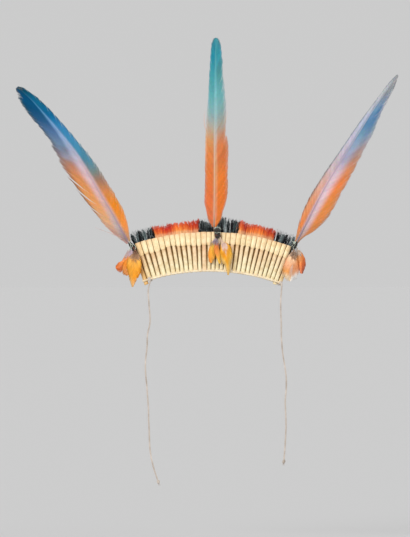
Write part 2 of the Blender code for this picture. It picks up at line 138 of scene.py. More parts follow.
TAILS = {
    # x, z, back, left, right
    "left": [
        (-117.9, 34.2, 0.0, 1.3, 1.3),
        (-125.6, 43.0, 0.8, 4.2, 3.4),
        (-129.8, 49.6, 1.4, 7.4, 6.2),
        (-136.0, 60.0, 2.8, 13.0, 11.4),
        (-145.4, 77.0, 5.2, 19.6, 16.4),
        (-157.0, 97.6, 8.0, 23.8, 18.4),
        (-172.8, 123.6, 11.8, 27.4, 18.4),
        (-191.8, 156.2, 16.5, 30.2, 16.6),
        (-206.8, 178.9, 20.2, 29.6, 13.8),
        (-219.5, 195.7, 23.2, 25.6, 13.2),
        (-235.5, 215.6, 27.0, 20.4, 12.2),
        (-254.0, 237.5, 31.2, 19.4, 11.2),
        (-269.0, 254.3, 34.6, 18.4, 9.0),
        (-285.0, 269.6, 38.0, 14.2, 6.2),
        (-294.6, 275.8, 40.0, 5.6, 3.6),
    ],
    "centre": [
        (1.9, 59.6, 0.0, 1.5, 1.5),
        (2.1, 66.0, -1.5, 2.6, 3.2),
        (2.3, 78.0, -2.3, 9.2, 10.2),
        (2.4, 92.0, -2.2, 12.4, 14.0),
        (2.5, 106.0, -1.4, 15.2, 18.4),
        (2.7, 120.0, -0.2, 14.6, 20.0),
        (2.9, 150.0, 2.4, 14.4, 20.4),
        (3.2, 190.0, 6.2, 14.5, 20.8),
        (3.3, 207.0, 7.4, 14.4, 16.8),
        (3.5, 235.0, 9.6, 12.2, 16.9),
        (3.7, 264.0, 12.0, 10.8, 15.8),
        (3.9, 293.0, 14.4, 9.4, 12.3),
        (4.3, 321.0, 17.0, 7.8, 10.4),
        (4.7, 340.0, 18.7, 6.6, 7.8),
        (4.9, 350.0, 19.6, 3.2, 3.8),
    ],
    "right": [
        (119.9, 32.4, 0.0, 1.3, 1.3),
        (125.6, 42.8, 0.8, 2.8, 3.0),
        (129.8, 51.0, 1.6, 5.0, 5.8),
        (135.0, 61.0, 2.6, 8.4, 11.6),
        (141.9, 74.0, 4.4, 11.8, 20.6),
        (153.2, 96.3, 7.6, 14.2, 28.4),
        (171.0, 129.4, 12.0, 12.6, 28.4),
        (190.5, 161.4, 16.6, 11.0, 27.4),
        (210.6, 193.0, 21.4, 9.6, 22.4),
        (225.8, 217.1, 25.2, 8.4, 20.2),
        (241.0, 241.3, 29.0, 6.4, 15.2),
        (257.0, 264.3, 32.8, 5.4, 10.6),
        (269.3, 281.6, 35.8, 4.8, 7.2),
        (278.9, 295.6, 38.0, 1.6, 1.8),
    ],
}

TASSELS = {
    # x, z, out, left, right
    "left_outer": [
        (-121.4, 36.2, 8.4, 1.0, 1.0),
        (-126.2, 27.8, 8.8, 3.2, 3.4),
        (-129.6, 20.2, 9.0, 4.2, 6.6),
        (-133.4, 12.8, 9.2, 4.8, 10.0),
        (-138.8, 6.9, 9.4, 7.4, 8.6),
        (-144.9, 5.0, 9.5, 4.6, 4.8),
    ],
    "left_middle": [
        (-118.4, 35.4, 10.2, 1.0, 1.0),
        (-121.6, 27.4, 10.9, 3.4, 3.4),
        (-124.8, 18.0, 11.5, 5.4, 7.0),
        (-127.4, 8.4, 11.8, 9.6, 8.0),
        (-128.4, 0.0, 12.0, 9.2, 7.0),
        (-127.6, -5.4, 12.1, 6.0, 4.2),
    ],
    "left_inner": [
        (-115.8, 35.0, 12.0, 1.2, 1.2),
        (-116.0, 28.4, 13.0, 4.6, 4.4),
        (-116.4, 21.8, 13.8, 9.6, 8.4),
        (-117.2, 15.0, 14.2, 13.0, 10.8),
        (-118.0, 5.4, 14.4, 12.6, 11.6),
        (-118.8, -4.6, 14.6, 10.2, 10.6),
        (-119.6, -14.0, 14.7, 6.2, 5.8),
        (-120.3, -23.8, 14.8, 1.4, 1.4),
    ],
    "centre_left": [
        (5.4, 51.0, 8.2, 1.0, 1.0),
        (2.6, 43.0, 8.6, 2.8, 2.8),
        (0.0, 35.0, 8.9, 4.6, 5.0),
        (-1.4, 27.0, 9.1, 5.4, 6.0),
        (-2.0, 19.0, 9.2, 4.8, 5.2),
        (-2.6, 12.4, 9.3, 1.5, 1.5),
    ],
    "centre_middle": [
        (8.2, 51.0, 10.4, 1.0, 1.0),
        (6.2, 42.6, 10.8, 2.4, 2.4),
        (5.8, 33.6, 11.2, 4.0, 4.4),
        (8.4, 23.4, 11.4, 3.8, 4.2),
        (10.8, 11.6, 11.6, 1.3, 1.3),
    ],
    "centre_right": [
        (11.0, 51.4, 12.6, 1.0, 1.0),
        (14.2, 43.6, 13.1, 3.2, 3.4),
        (17.6, 36.0, 13.5, 6.4, 9.2),
        (19.8, 27.6, 13.8, 9.2, 10.4),
        (21.6, 17.6, 14.0, 9.0, 8.8),
        (23.0, 6.4, 14.1, 4.0, 3.6),
        (23.6, -5.6, 14.2, 1.4, 1.4),
    ],
    "right_inner": [
        (121.6, 37.0, 11.4, 1.2, 1.2),
        (122.4, 29.0, 12.0, 4.0, 4.0),
        (121.0, 20.0, 12.6, 9.0, 8.6),
        (119.2, 9.6, 13.0, 11.8, 12.2),
        (117.4, 0.6, 13.2, 13.8, 14.8),
        (116.8, -7.4, 13.3, 12.0, 12.8),
        (116.6, -13.6, 13.3, 7.4, 9.0),
    ],
    "right_outer": [
        (124.8, 37.8, 8.6, 1.0, 1.0),
        (128.6, 30.8, 8.9, 2.8, 2.8),
        (131.6, 23.4, 9.2, 5.6, 5.8),
        (133.4, 14.4, 9.4, 7.2, 7.8),
        (133.6, 5.2, 9.6, 6.6, 7.0),
        (133.8, -3.2, 9.7, 2.4, 2.4),
    ],
}

# The end feathers are bound alike, each to its end reed.
END_BINDING = [
    # up, out, half width, half depth
    (38.4, 3.3, 2.7, 2.0),
    (40.5, 3.4, 3.4, 2.9),
    (45.0, 3.6, 3.7, 3.2),
    (49.0, 3.6, 3.3, 3.0),
    (51.6, 3.5, 2.2, 2.0),
]
BINDINGS = {
    # arc, up, out, half width, half depth
    "left": [(-96.1, *row) for row in END_BINDING],
    "centre": [
        (9.0, 52.4, 8.6, 1.8, 1.6),
        (9.0, 54.4, 8.8, 2.6, 2.4),
        (9.1, 58.0, 8.9, 2.9, 2.6),
        (9.2, 61.6, 8.8, 3.2, 2.7),
        (9.3, 64.6, 8.6, 1.9, 1.7),
    ],
    "right": [(107.4, *row) for row in END_BINDING],
}

WRAPS = {
    # x, z, out, half width, half depth
    "left": [
        (-125.4, 43.0, 3.6, 1.5, 1.7),
        (-123.0, 40.2, 5.2, 2.4, 3.6),
        (-120.4, 37.2, 7.6, 3.3, 5.8),
        (-118.2, 34.0, 8.0, 3.5, 6.0),
        (-116.8, 31.6, 7.4, 2.4, 4.4),
    ],
    "centre": [
        (4.4, 58.6, 9.4, 1.8, 2.2),
        (6.2, 55.8, 10.0, 3.0, 2.8),
        (7.8, 53.0, 10.4, 4.4, 3.4),
        (8.4, 51.0, 10.4, 4.0, 3.2),
        (8.6, 49.4, 10.2, 2.6, 2.4),
    ],
    "right": [
        (125.6, 43.4, 3.6, 1.5, 1.7),
        (124.2, 41.0, 6.0, 2.6, 4.2),
        (122.6, 38.0, 7.8, 3.5, 5.6),
        (120.8, 34.8, 7.6, 3.2, 5.4),
        (119.4, 32.0, 6.8, 2.2, 4.0),
    ],
}
KNOTS = {
    # x, z, out, size, thread
    "left": [
        (-118.0, 34.6, 14.6, 1.6, "red"),
        (-116.6, 29.6, 15.0, 1.1, "red"),
        (-123.4, 41.0, 9.4, 1.2, "dark"),
    ],
    "centre": [
        (7.8, 61.5, 12.4, 2.2, "dark"),
        (4.8, 53.8, 13.6, 1.3, "red"),
        (10.6, 56.4, 12.6, 1.1, "dark"),
    ],
    "right": [
        (122.9, 42.9, 11.4, 1.7, "pale"),
        (119.6, 40.2, 12.6, 1.2, "dark"),
        (124.6, 39.0, 13.0, 1.0, "dark"),
    ],
}
STRANDS = {
    # x, z, out
    "left": [
        [(-122.4, 47.0, 7.6), (-124.4, 43.2, 9.8), (-122.8, 38.8, 13.4), (-124.8, 33.8, 14.0),
         (-125.8, 30.4, 13.2)],
        [(-126.2, 45.4, 7.2), (-123.4, 41.8, 11.2), (-120.0, 38.4, 14.0), (-122.2, 35.0, 14.8),
         (-121.0, 31.8, 14.6)],
        [(-119.8, 40.6, 12.6), (-116.6, 38.4, 13.8), (-115.4, 35.2, 14.6), (-117.0, 32.6, 15.2)],
    ],
    "centre": [
        [(2.8, 63.2, 10.4), (5.6, 66.0, 11.4), (9.8, 65.6, 12.0), (12.8, 62.2, 12.0)],
        [(3.2, 58.4, 11.8), (6.2, 57.2, 12.8), (9.8, 58.4, 13.0), (12.6, 56.6, 12.8)],
    ],
    "right": [
        [(118.0, 46.4, 8.0), (120.6, 44.4, 10.4), (123.6, 41.0, 12.8), (126.6, 36.2, 12.6),
         (129.4, 32.4, 11.4)],
        [(126.0, 46.6, 7.0), (124.4, 43.8, 10.4), (121.2, 40.6, 13.0), (118.6, 37.0, 13.4)],
        [(123.4, 38.6, 14.0), (120.8, 35.6, 14.0), (122.6, 32.4, 14.2)],
    ],
}

TIE_RADIUS = 1.1 * MM
TIE_PITCH = 6.2 * MM
HITCH_WIDE, HITCH_DEEP, HITCH_TALL = 2.4, 5.2, 2.5  # in millimetres
KNOT_LENGTH = 7.6 * MM
KNOT_RADIUS = 2.6 * MM
KNOT_GAP = 0.3 * MM
TIES = {
    # x, y, z
    "left": [
        (-93.6, 3.8, -15.2),
        (-95.2, 3.4, -21.0),
        (-96.7, 3.2, -31.0),
        (-95.4, 3.8, -50.4),
        (-93.8, 4.6, -75.3),
        (-97.7, 5.2, -95.3),
        (-98.3, 5.4, -112.7),
        (-100.5, 5.0, -133.8),
        (-100.7, 4.4, -150.0),
        (-98.7, 4.0, -172.4),
        (-97.4, 4.2, -190.2),
        (-96.3, 4.8, -206.4),
        (-96.0, 5.4, -222.9),
        (-95.1, 5.8, -241.2),
        (-94.3, 5.6, -263.2),
        (-92.0, 5.0, -280.2),
        (-88.1, 4.4, -296.4),
        (-82.9, 4.0, -312.0),
    ],
    "right": [
        (103.9, 6.8, -20.8),
        (103.3, 6.2, -30.0),
        (102.2, 5.8, -44.0),
        (102.3, 6.2, -60.0),
        (103.1, 7.0, -80.0),
        (103.3, 7.6, -98.7),
        (105.2, 8.0, -122.7),
        (108.5, 7.6, -143.0),
        (110.5, 7.0, -160.0),
        (110.5, 6.6, -177.0),
        (109.0, 6.8, -195.0),
        (109.7, 7.4, -213.0),
        (110.2, 8.0, -231.0),
        (109.5, 8.2, -249.3),
        (108.7, 7.8, -263.0),
        (107.3, 7.4, -281.6),
    ],
}


# ------------------------------------------------------------------ the band's form, as numbers
def unit(vectors):
    return vectors / np.linalg.norm(vectors, axis=-1, keepdims=True)


def bend_back(x):
    """How far the band's back face has turned to the rear at x."""
    return BEND_RADIUS - np.sqrt(BEND_RADIUS**2 - (x - FAN_MIDDLE) ** 2)


def ahead_of_band(x, out):
    """The y of a place at x that stands this far out from the band's back face."""
    return BEND_RADIUS - np.sqrt((BEND_RADIUS + out) ** 2 - (x - FAN_MIDDLE) ** 2)


def outward(x):
    """The direction that the front of the band faces at x."""
    turn = np.arcsin((np.asarray(x, float) - FAN_MIDDLE) / BEND_RADIUS)
    return np.stack([np.sin(turn), -np.cos(turn), np.zeros_like(turn)], -1)


def on_band(arc, up, out=0.0, aside=0.0):
    """Points by their place on the band: along its lower edge, up a reed, to the front, across."""
    arc, up, out, aside = np.broadcast_arrays(*np.atleast_1d(arc, up, out, aside))
    turn = arc / FAN_RADIUS
    foot_x = FAN_MIDDLE + FAN_RADIUS * np.sin(turn)
    foot_z = FAN_RADIUS * (np.cos(turn) - 1.0)
    top_x = foot_x + BAND_HEIGHT * np.sin(LEAN * turn)
    top_z = foot_z + BAND_HEIGHT * np.cos(LEAN * turn)
    foot = np.stack([foot_x, bend_back(foot_x), foot_z], -1)
    rising = unit(np.stack([top_x, bend_back(top_x), top_z], -1) - foot)
    point = foot + rising * up[..., None]
    across = unit(np.cross(rising, outward(point[..., 0])))
    front = np.cross(across, rising)
    return point + across * aside[..., None] + front * out[..., None]


def spread(up):
    """How much wider a reed's place in the row is at this height than at the lower edge."""
    return 1.0 + LEAN * up / FAN_RADIUS


def reed_edges():
    """Where the reeds meet along the lower edge, from the first one's left side on."""
    widths = np.array([row[0] for row in REEDS]) * MM
    return REED_FIRST + np.concatenate([[0.0], np.cumsum(widths)])


def slip_half(width, up):
    """Half the width of a slip, which narrows upwards as its neighbours spread apart."""
    gap = SLIP_GAP_FOOT + (SLIP_GAP_TOP - SLIP_GAP_FOOT) * up / SHOULDER
    return 0.5 * (width * spread(up) - gap)


def smooth_table(rows, count):
    """Rows of numbers read at even steps along a smooth curve through them."""
    rows = np.asarray(rows, float)
    place = np.linspace(0.0, len(rows) - 1, count)
    at = np.minimum(place.astype(int), len(rows) - 2)
    part = (place - at)[:, None]
    before, here = rows[np.maximum(at - 1, 0)], rows[at]
    after, beyond = rows[at + 1], rows[np.minimum(at + 2, len(rows) - 1)]
    pull = (after - before) * part
    turn = (2 * before - 5 * here + 4 * after - beyond) * part**2
    settle = (3 * here - before - 3 * after + beyond) * part**3
    return here + 0.5 * (pull + turn + settle)


def ripple(count, length):
    """A smooth random wave between -1 and 1, whose swells are about that many steps long."""
    knots = max(int(count / length) + 3, 4)
    return np.interp(np.linspace(0, knots - 1, count), np.arange(knots), RNG.uniform(-1, 1, knots))


def run_along(points):
    """How far along the line each of its points is."""
    steps = np.linalg.norm(np.diff(points, axis=0), axis=1)
    return np.concatenate([[0.0], np.cumsum(steps)])


def between(places, run, table):
    """What a table of columns holds at places along its run."""
    return np.stack([np.interp(places, run, column) for column in table.T], -1)


def even_steps(points, count):
    """The same line with its points evenly spaced."""
    run = run_along(points)
    return between(np.linspace(0.0, run[-1], count), run, points)


# ------------------------------------------------------------------ pieces from their points
def frames_along(points):
    """Two directions square to a line and to each other, which turn as little as they can."""
    ahead = unit(np.gradient(points, axis=0))
    start = np.cross(ahead[0], (0.3, 1.0, 0.2))
    first = [start / np.linalg.norm(start)]
    for way in ahead[1:]:
        kept = first[-1] - way * np.dot(first[-1], way)
        first.append(kept / np.linalg.norm(kept))
    first = np.array(first)
    return first, np.cross(ahead, first)


def tube_faces(rings, sides, copies=1):
    """The faces of closed tubes whose corners come ring by ring, tube after tube."""
    k = np.arange(sides)
    n = (k + 1) % sides
    base = np.arange(rings - 1)[:, None] * sides
    quads = np.stack([base + k, base + n, base + sides + n, base + sides + k], -1).reshape(-1, 4)
    faces = []
    for copy in range(copies):
        shift = copy * rings * sides
        faces += (quads + shift).tolist()
        faces += [(k[::-1] + shift).tolist(), (k + (rings - 1) * sides + shift).tolist()]
    return faces


def tube(points, radii, sides):
    """The corners and the faces of a closed tube along a line."""
    first, second = frames_along(points)
    turn = np.linspace(0.0, 2 * np.pi, sides, endpoint=False)[None, :, None]
    ring = first[:, None] * np.cos(turn) + second[:, None] * np.sin(turn)
    radii = np.broadcast_to(radii, len(points))[:, None, None]
    return (points[:, None] + ring * radii).reshape(-1, 3), tube_faces(len(points), sides)


def plies(points, radius, pitch):
    """The lines of the two plies that are twisted into a cord along a line."""
    first, second = frames_along(points)
    turn = 2 * np.pi * run_along(points) / pitch
    lines = []
    for ply in range(2):
        phase = (turn + np.pi * ply)[:, None]
        lines.append(points + radius * (first * np.cos(phase) + second * np.sin(phase)))
    return lines


def twisted(points, radius, pitch):
    """A two-ply cord, as parts for join(), and its line."""
    sides = 8
    fine = even_steps(points, int(run_along(points)[-1] / pitch * 10) + 2)
    parts = []
    for line in plies(fine, 0.54 * radius, pitch):
        corners, faces = tube(line, 0.64 * radius, sides)
        along = np.repeat(run_along(fine), sides) / MM
        around = np.tile(np.arange(sides) / sides, len(fine))
        marks = np.stack([along, around, np.full_like(along, len(parts))], -1)
        parts.append((corners, faces, marks))
    return parts, fine


def mark_tube(line, radius, sides):
    """A tube whose marks are the length wound, the place round it and nothing."""
    corners, faces = tube(line, radius, sides)
    run = np.repeat(run_along(line) / MM, sides)
    around = np.tile(np.arange(sides) / sides, len(line))
    return corners, faces, np.stack([run, around, np.zeros_like(run)], -1)


def placed_tube(line, radius, sides):
    """A tube whose marks are its own places, in millimetres."""
    corners, faces = tube(line, radius, sides)
    return corners, faces, corners / MM


def even_tube(line, radius, sides, mark):
    """A tube with the same mark all over."""
    corners, faces = tube(line, radius, sides)
    return corners, faces, np.tile(mark, (len(corners), 1))


def trefoil(turn):
    """A trefoil knot at these turns: its two shares in the loop's plane and one through it."""
    first = (np.sin(turn) + 2 * np.sin(2 * turn)) / 3
    second = (np.cos(turn) - 2 * np.cos(2 * turn)) / 3
    return first, second, -np.sin(3 * turn)


def join(parts):
    """Parts made one: each has corners, faces and a mark of three numbers at each corner."""
    corners, faces, marks = [], [], []
    shift = 0
    for points, around, mark in parts:
        corners.append(points)
        marks.append(mark)
        faces += [[corner + shift for corner in face] for face in around]
        shift += len(points)
    return np.concatenate(corners), faces, np.concatenate(marks)


def add_piece(name, parts, material, nodes, mark="place"):
    """A finished piece in its place, which stands for CAD nodes."""
    corners, faces, marks = join(parts)
    mesh = bpy.data.meshes.new(name)
    mesh.from_pydata(corners.tolist(), [], faces)
    mesh.attributes.new(mark, "FLOAT_VECTOR", "POINT").data.foreach_set("vector", marks.ravel())
    mesh.materials.append(material)
    mesh.shade_smooth()
    piece = bpy.data.objects.new(name, mesh)
    bpy.context.scene.collection.objects.link(piece)
    return hand_over(piece, nodes)


def hand_over(piece, nodes):
    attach(piece, "root")
    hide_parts(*nodes)
    return piece


# ------------------------------------------------------------------ materials
def paint(code):
    """A shader colour from the sRGB hex code of a paint or dye."""
    shares = [int(code[k : k + 2], 16) / 255 for k in (0, 2, 4)]
    return (*((s / 12.92 if s <= 0.04045 else ((s + 0.055) / 1.055) ** 2.4) for s in shares), 1.0)


def node(tree, kind, inputs=None, stops=(), output=0, **settings):
    """A node with its settings, its ramp's stops, and each input linked or set."""
    made = tree.nodes.new("ShaderNode" + kind)
    for name, value in settings.items():
        setattr(made, name, value)
    for socket, value in (inputs or {}).items():
        if isinstance(value, bpy.types.NodeSocket):
            tree.links.new(value, made.inputs[socket])
        else:
            made.inputs[socket].default_value = value
    for number, (place, value) in enumerate(stops):
        elements = made.color_ramp.elements
        if number == 0:
            elements.remove(elements[1])
            elements[0].position = place
        stop = elements[0] if number == 0 else elements.new(place)
        stop.color = paint(value) if isinstance(value, str) else (value, value, value, 1.0)
    return made.outputs[output]


BLEND = {"data_type": "RGBA", "output": 2}
MULTIPLIED = {**BLEND, "blend_type": "MULTIPLY"}


def feather_marks(tree):
    """How far along its feather each place is, how far aside (or along the band), and its tone."""
    place = node(tree, "Attribute", attribute_name="place", output=1)
    return [node(tree, "SeparateXYZ", {0: place}, output=k) for k in range(3)]


def material(name, **values):
    """A new material's tree and its shader, with the shader's even values set."""
    made = bpy.data.materials.new(name)
    made.use_nodes = True
    shader = made.node_tree.nodes["Principled BSDF"]
    for socket, value in values.items():
        shader.inputs[socket.replace("_", " ")].default_value = value
    return made, made.node_tree, shader


# Smoke stain and painted shade up the reed, from its foot (0) to 60 mm up: darkest where the splits go
# under their sleeves, and a little darker again at the sleeves' tops.
CANE_SMOKE_AND_SHADE = [(0.0, "f4efe5"), (0.15, "f2f3ee"), (0.40, "f2ece6"), (0.66, "f0dfd5"), (0.69, "fbf4ec"),
              (0.80, "ffffff"), (0.92, "fdf6ee"), (0.967, "f2e4dc")]


def cane_material(name, pale, blush, shade, spots):
    """Split cane, scraped: a waxy straw skin that shows its long fibres and pores."""
    made, tree, shader = material(name, Roughness=0.46, IOR=1.46)
    place = node(tree, "Attribute", attribute_name="grain", output=1)
    tint = node(tree, "Attribute", attribute_name="blush", output=2)
    # Fibre bundles are about 0.3 mm wide and run the whole length of a reed.
    long_grain = node(tree, "Mapping", {"Vector": place, "Scale": (1.6, 1.0, 0.05)})
    fibre = node(tree, "TexNoise", {"Vector": long_grain, "Scale": 2.2, "Detail": 4.0})
    streak = node(tree, "ValToRGB", {0: fibre}, [(0.36, 0.0), (0.62, 1.0)])
    # Sun and handling have stained the skin in patches some 6 mm across.
    stain = node(tree, "TexNoise", {"Vector": place, "Scale": 0.16, "Detail": 3.0})
    patch = node(tree, "ValToRGB", {0: stain}, [(0.42, 0.0), (0.68, 1.0)])
    pinked = node(tree, "Mix", {0: tint, 6: paint(pale), 7: paint(blush)}, **BLEND)
    ripe = node(tree, "MapRange", {0: tint, 1: 0.0, 2: -1.0, 3: 0.0, 4: 1.0})
    body = node(tree, "Mix", {0: ripe, 6: pinked, 7: paint("e6b262")}, **BLEND)
    fibred = node(tree, "Mix", {0: streak, 6: paint(shade), 7: body}, **BLEND)
    softened = node(tree, "Mix", {0: 0.62, 6: fibred, 7: body}, **BLEND)
    stained = node(tree, "Mix", {0: patch, 6: softened, 7: paint(shade)}, **MULTIPLIED)
    worn = node(tree, "Mix", {0: 0.45, 6: softened, 7: stained}, **BLEND)
    # Pores and specks of mould, each 0.5 to 1 mm.
    speck = node(tree, "TexNoise", {"Vector": place, "Scale": 1.1, "Detail": 2.0})
    dotted = node(tree, "ValToRGB", {0: speck}, [(0.60, 0.0), (0.72, spots)])
    skin = node(tree, "Mix", {0: dotted, 6: worn, 7: paint("8f8a5c")}, **BLEND)
    # Smoke and dust have settled where the splits go into their sleeves, about 40 mm up; the darkening
    # there is also painted shade from the sleeves over the splits.
    rise = node(tree, "Attribute", attribute_name="rise", output=2)
    climb = node(tree, "MapRange", {0: rise, 1: 0.0, 2: 60.0, 3: 0.0, 4: 1.0})
    smoke_and_shade = node(tree, "ValToRGB", {0: climb}, CANE_SMOKE_AND_SHADE)
    browned_and_shaded = node(tree, "Mix", {0: 1.0, 6: skin, 7: smoke_and_shade}, **MULTIPLIED)
    tree.links.new(browned_and_shaded, shader.inputs["Base Color"])
    relief = node(tree, "Bump", {"Height": fibre, "Strength": 0.35, "Distance": 0.25 * MM})
    tree.links.new(relief, shader.inputs["Normal"])
    return made


def bark_material():
    """Dry inner bark: dull brown, with long dark fibres and a flaky surface."""
    made, tree, shader = material("dry_inner_bark", Roughness=0.86, IOR=1.45)
    place = node(tree, "Attribute", attribute_name="grain", output=1)
    long_grain = node(tree, "Mapping", {"Vector": place, "Scale": (0.05, 1.0, 1.0)})
    fibre = node(tree, "TexNoise", {"Vector": long_grain, "Scale": 1.5, "Detail": 6.0})
    colour = node(
        tree, "ValToRGB", {0: fibre}, [(0.30, "3c2612"), (0.50, "70501f"), (0.70, "987442")]
    )
    tree.links.new(colour, shader.inputs["Base Color"])
    relief = node(tree, "Bump", {"Height": fibre, "Strength": 0.7, "Distance": 0.5 * MM})
    tree.links.new(relief, shader.inputs["Normal"])
    return made


def thread_material(name, dark, light, roughness=0.82):
    """Hand-spun plant fibre: matt, with fine slanting fibres and a little soiling."""
    made, tree, shader = material(name, Roughness=roughness, IOR=1.5, Sheen_Weight=0.12)
    place = node(tree, "Attribute", attribute_name="place", output=1)
    slanted = node(tree, "Mapping", {"Vector": place, "Scale": (1.2, 6.0, 3.0)})
    fibre = node(tree, "TexNoise", {"Vector": slanted, "Scale": 1.4, "Detail": 4.0})
    soiled = node(tree, "TexNoise", {"Vector": place, "Scale": 0.07, "Detail": 2.0})
    both = node(tree, "Math", {0: fibre, 1: soiled}, operation="ADD")
    half = node(tree, "Math", {0: both, 1: 0.5}, operation="MULTIPLY")
    colour = node(tree, "ValToRGB", {0: half}, [(0.34, dark), (0.62, light)])
    tree.links.new(colour, shader.inputs["Base Color"])
    relief = node(tree, "Bump", {"Height": fibre, "Strength": 0.5, "Distance": 0.15 * MM})
    tree.links.new(relief, shader.inputs["Normal"])
    return made


# ------------------------------------------------------------------ camera and studio
LENS = 600.0  # in millimetres
VIEW_OVER_HEIGHT = 1.2024  # how tall the view is, over the headdress's own height
VIEW_LEFT, VIEW_DOWN = 3.0 * MM, 11.0 * MM  # the view's middle from the headdress's


def set_camera():
    """Straight on to the front of the band, from far enough off for a long lens."""
    data = bpy.data.cameras.new("camera")
    data.lens = LENS
    data.clip_end = 200.0
    low, high = CAD_BOX
    tall_in_view = VIEW_OVER_HEIGHT * (high.z - low.z)
    camera = bpy.data.objects.new("camera", data)
    camera.location = (
        (low.x + high.x) / 2 - VIEW_LEFT,
        -tall_in_view * data.lens / data.sensor_width,
        (low.z + high.z) / 2 - VIEW_DOWN,
    )
    camera.rotation_euler = (math.radians(90.0), 0.0, 0.0)
    bpy.context.scene.collection.objects.link(camera)
    bpy.context.scene.camera = camera


PALE_SKY = 0.60
FLOOR_SIZE = 400.0  # in metres, so that its edge is never in view
FLOOR_DROP = 0.09  # in metres below the lowest piece
STUDIO_LIGHTS = [
    # name, the way it shines, strength, angular width in degrees
    ("key", (0.40, 0.84, -0.38), 2.0, 30.0),
    ("fill", (-0.62, 0.74, -0.22), 0.75, 70.0),
]


def set_studio():
    """A pale floor without end under an even pale sky, and two broad soft lights."""
    scene = bpy.context.scene
    scene.view_settings.view_transform = "Standard"
    world = bpy.data.worlds.new("pale_studio")
    world.use_nodes = True
    world.node_tree.nodes["Background"].inputs["Color"].default_value = (PALE_SKY,) * 3 + (1.0,)
    scene.world = world
    on_floor = PALE_SKY
    for name, way, strength, width in STUDIO_LIGHTS:
        light = bpy.data.lights.new(name, "SUN")
        light.energy = strength
        light.angle = math.radians(width)
        lamp = bpy.data.objects.new(name, light)
        lamp.rotation_euler = Vector(way).to_track_quat("-Z", "Y").to_euler()
        scene.collection.objects.link(lamp)
        on_floor += strength * -Vector(way).normalized().z / math.pi
    bpy.ops.mesh.primitive_plane_add(size=FLOOR_SIZE, location=(0.0, 0.0, CAD_BOX[0].z - FLOOR_DROP))
    floor = bpy.context.object
    floor.name = "studio_floor"
    bpy.ops.object.transform_apply(location=True)
    shade = PALE_SKY / on_floor  # the paint that makes the floor as light as the sky
    colour = (shade, shade, shade, 1.0)
    painted, _, _ = material(
        "matt_painted_floor", Roughness=0.95, Base_Color=colour, Specular_IOR_Level=0.0
    )
    floor.data.materials.append(painted)
    bpy.ops.object.select_all(action="DESELECT")


# ------------------------------------------------------------------ the tie cords
def make_ties(cotton):
    for name, rows in TIES.items():
        route = even_steps(smooth_table(rows, 40 * len(rows)) * MM, 90)
        parts, fine = twisted(route, TIE_RADIUS, TIE_PITCH)
        tie = add_piece(f"tie_cord_{name}", parts, cotton, [f"tie_{name}"])
        ahead = unit(route[-1] - route[-2])
        knot = make_knot(name, route[-1], ahead, cotton)


def make_knot(name, end, ahead, cotton):
    """A small overhand knot at the end of a tie, with the cord's frayed tail below it."""
    side = unit(np.cross(ahead, (0.0, 1.0, 0.0)))
    front = np.cross(side, ahead)
    turn = np.linspace(0.0, 2 * np.pi, 64)[:-4] + 0.3
    wide, deep, rise = trefoil(turn)
    middle = end + ahead * (KNOT_GAP + 0.5 * KNOT_LENGTH)
    loop = middle + np.outer(0.62 * KNOT_RADIUS * wide, side)
    loop += np.outer(0.62 * KNOT_RADIUS * deep, front)
    loop += np.outer(0.22 * KNOT_LENGTH * rise, ahead)
    entry = end + np.outer(np.linspace(0.0, 0.35, 5) * KNOT_LENGTH, ahead)
    parts = [placed_tube(loop, 0.95 * MM, 8), placed_tube(entry, 1.05 * MM, 8)]
    for _ in range(14):
        lean = side * RNG.normal(0, 0.25) + front * RNG.normal(0, 0.25) + ahead
        start = middle + ahead * 0.2 * KNOT_LENGTH + side * RNG.normal(0, 0.4) * MM
        wisp = start + np.outer(np.linspace(0.0, RNG.uniform(3.0, 5.5), 5) * MM, lean)
        wisp += np.outer(np.linspace(0, 1, 5) ** 2, RNG.normal(0, 0.7, 3) * MM)
        parts.append(placed_tube(wisp, np.linspace(0.18, 0.05, 5) * MM, 4))
    return add_piece(f"tie_knot_{name}", parts, cotton, [f"knot_{name}"])


# ------------------------------------------------------------------ cane and bark, by hand
def pick(piece, kind, test):
    """In edit mode, picks the faces, edges or corners whose corners all pass the test."""
    bpy.ops.mesh.select_mode(type=kind)
    bpy.ops.mesh.select_all(action="DESELECT")
    shape = bmesh.from_edit_mesh(piece.data)
    groups = {"FACE": shape.faces, "EDGE": shape.edges, "VERT": shape.verts}
    for part in groups[kind]:
        corners = [part] if kind == "VERT" else part.verts
        part.select_set(all(test(corner.co / MM) for corner in corners))
    shape.select_flush_mode()
    bmesh.update_edit_mesh(piece.data)


def cut_across(heights):
    """Cuts level rings into the shape that is being edited."""
    for height in heights:
        bpy.ops.mesh.select_all(action="SELECT")
        bpy.ops.mesh.bisect(plane_co=(0.0, 0.0, height * MM), plane_no=(0.0, 0.0, 1.0))


def start_shape(name, size, middle, cylinder=0):
    """A cube, or a cylinder of so many sides, at its size and place and open for editing."""
    if cylinder:
        bpy.ops.mesh.primitive_cylinder_add(vertices=cylinder, radius=0.5, depth=1.0)
    else:
        bpy.ops.mesh.primitive_cube_add(size=1.0)
    shape = bpy.context.object
    shape.name = name
    shape.scale = [side * MM for side in size]
    shape.location = [place * MM for place in middle]
    bpy.ops.object.transform_apply(location=True, scale=True)
    bpy.ops.object.mode_set(mode="EDIT")
    return shape


def end_shape(shape):
    bpy.ops.object.mode_set(mode="OBJECT")
    bpy.ops.object.shade_smooth_by_angle(angle=math.radians(50.0))
    shape.select_set(False)
    return shape


# The straight models' own sizes, in millimetres; a slip's top is inside its sleeve.
SLIP_TOP = 45.0
SLIP_WIDE = 6.0


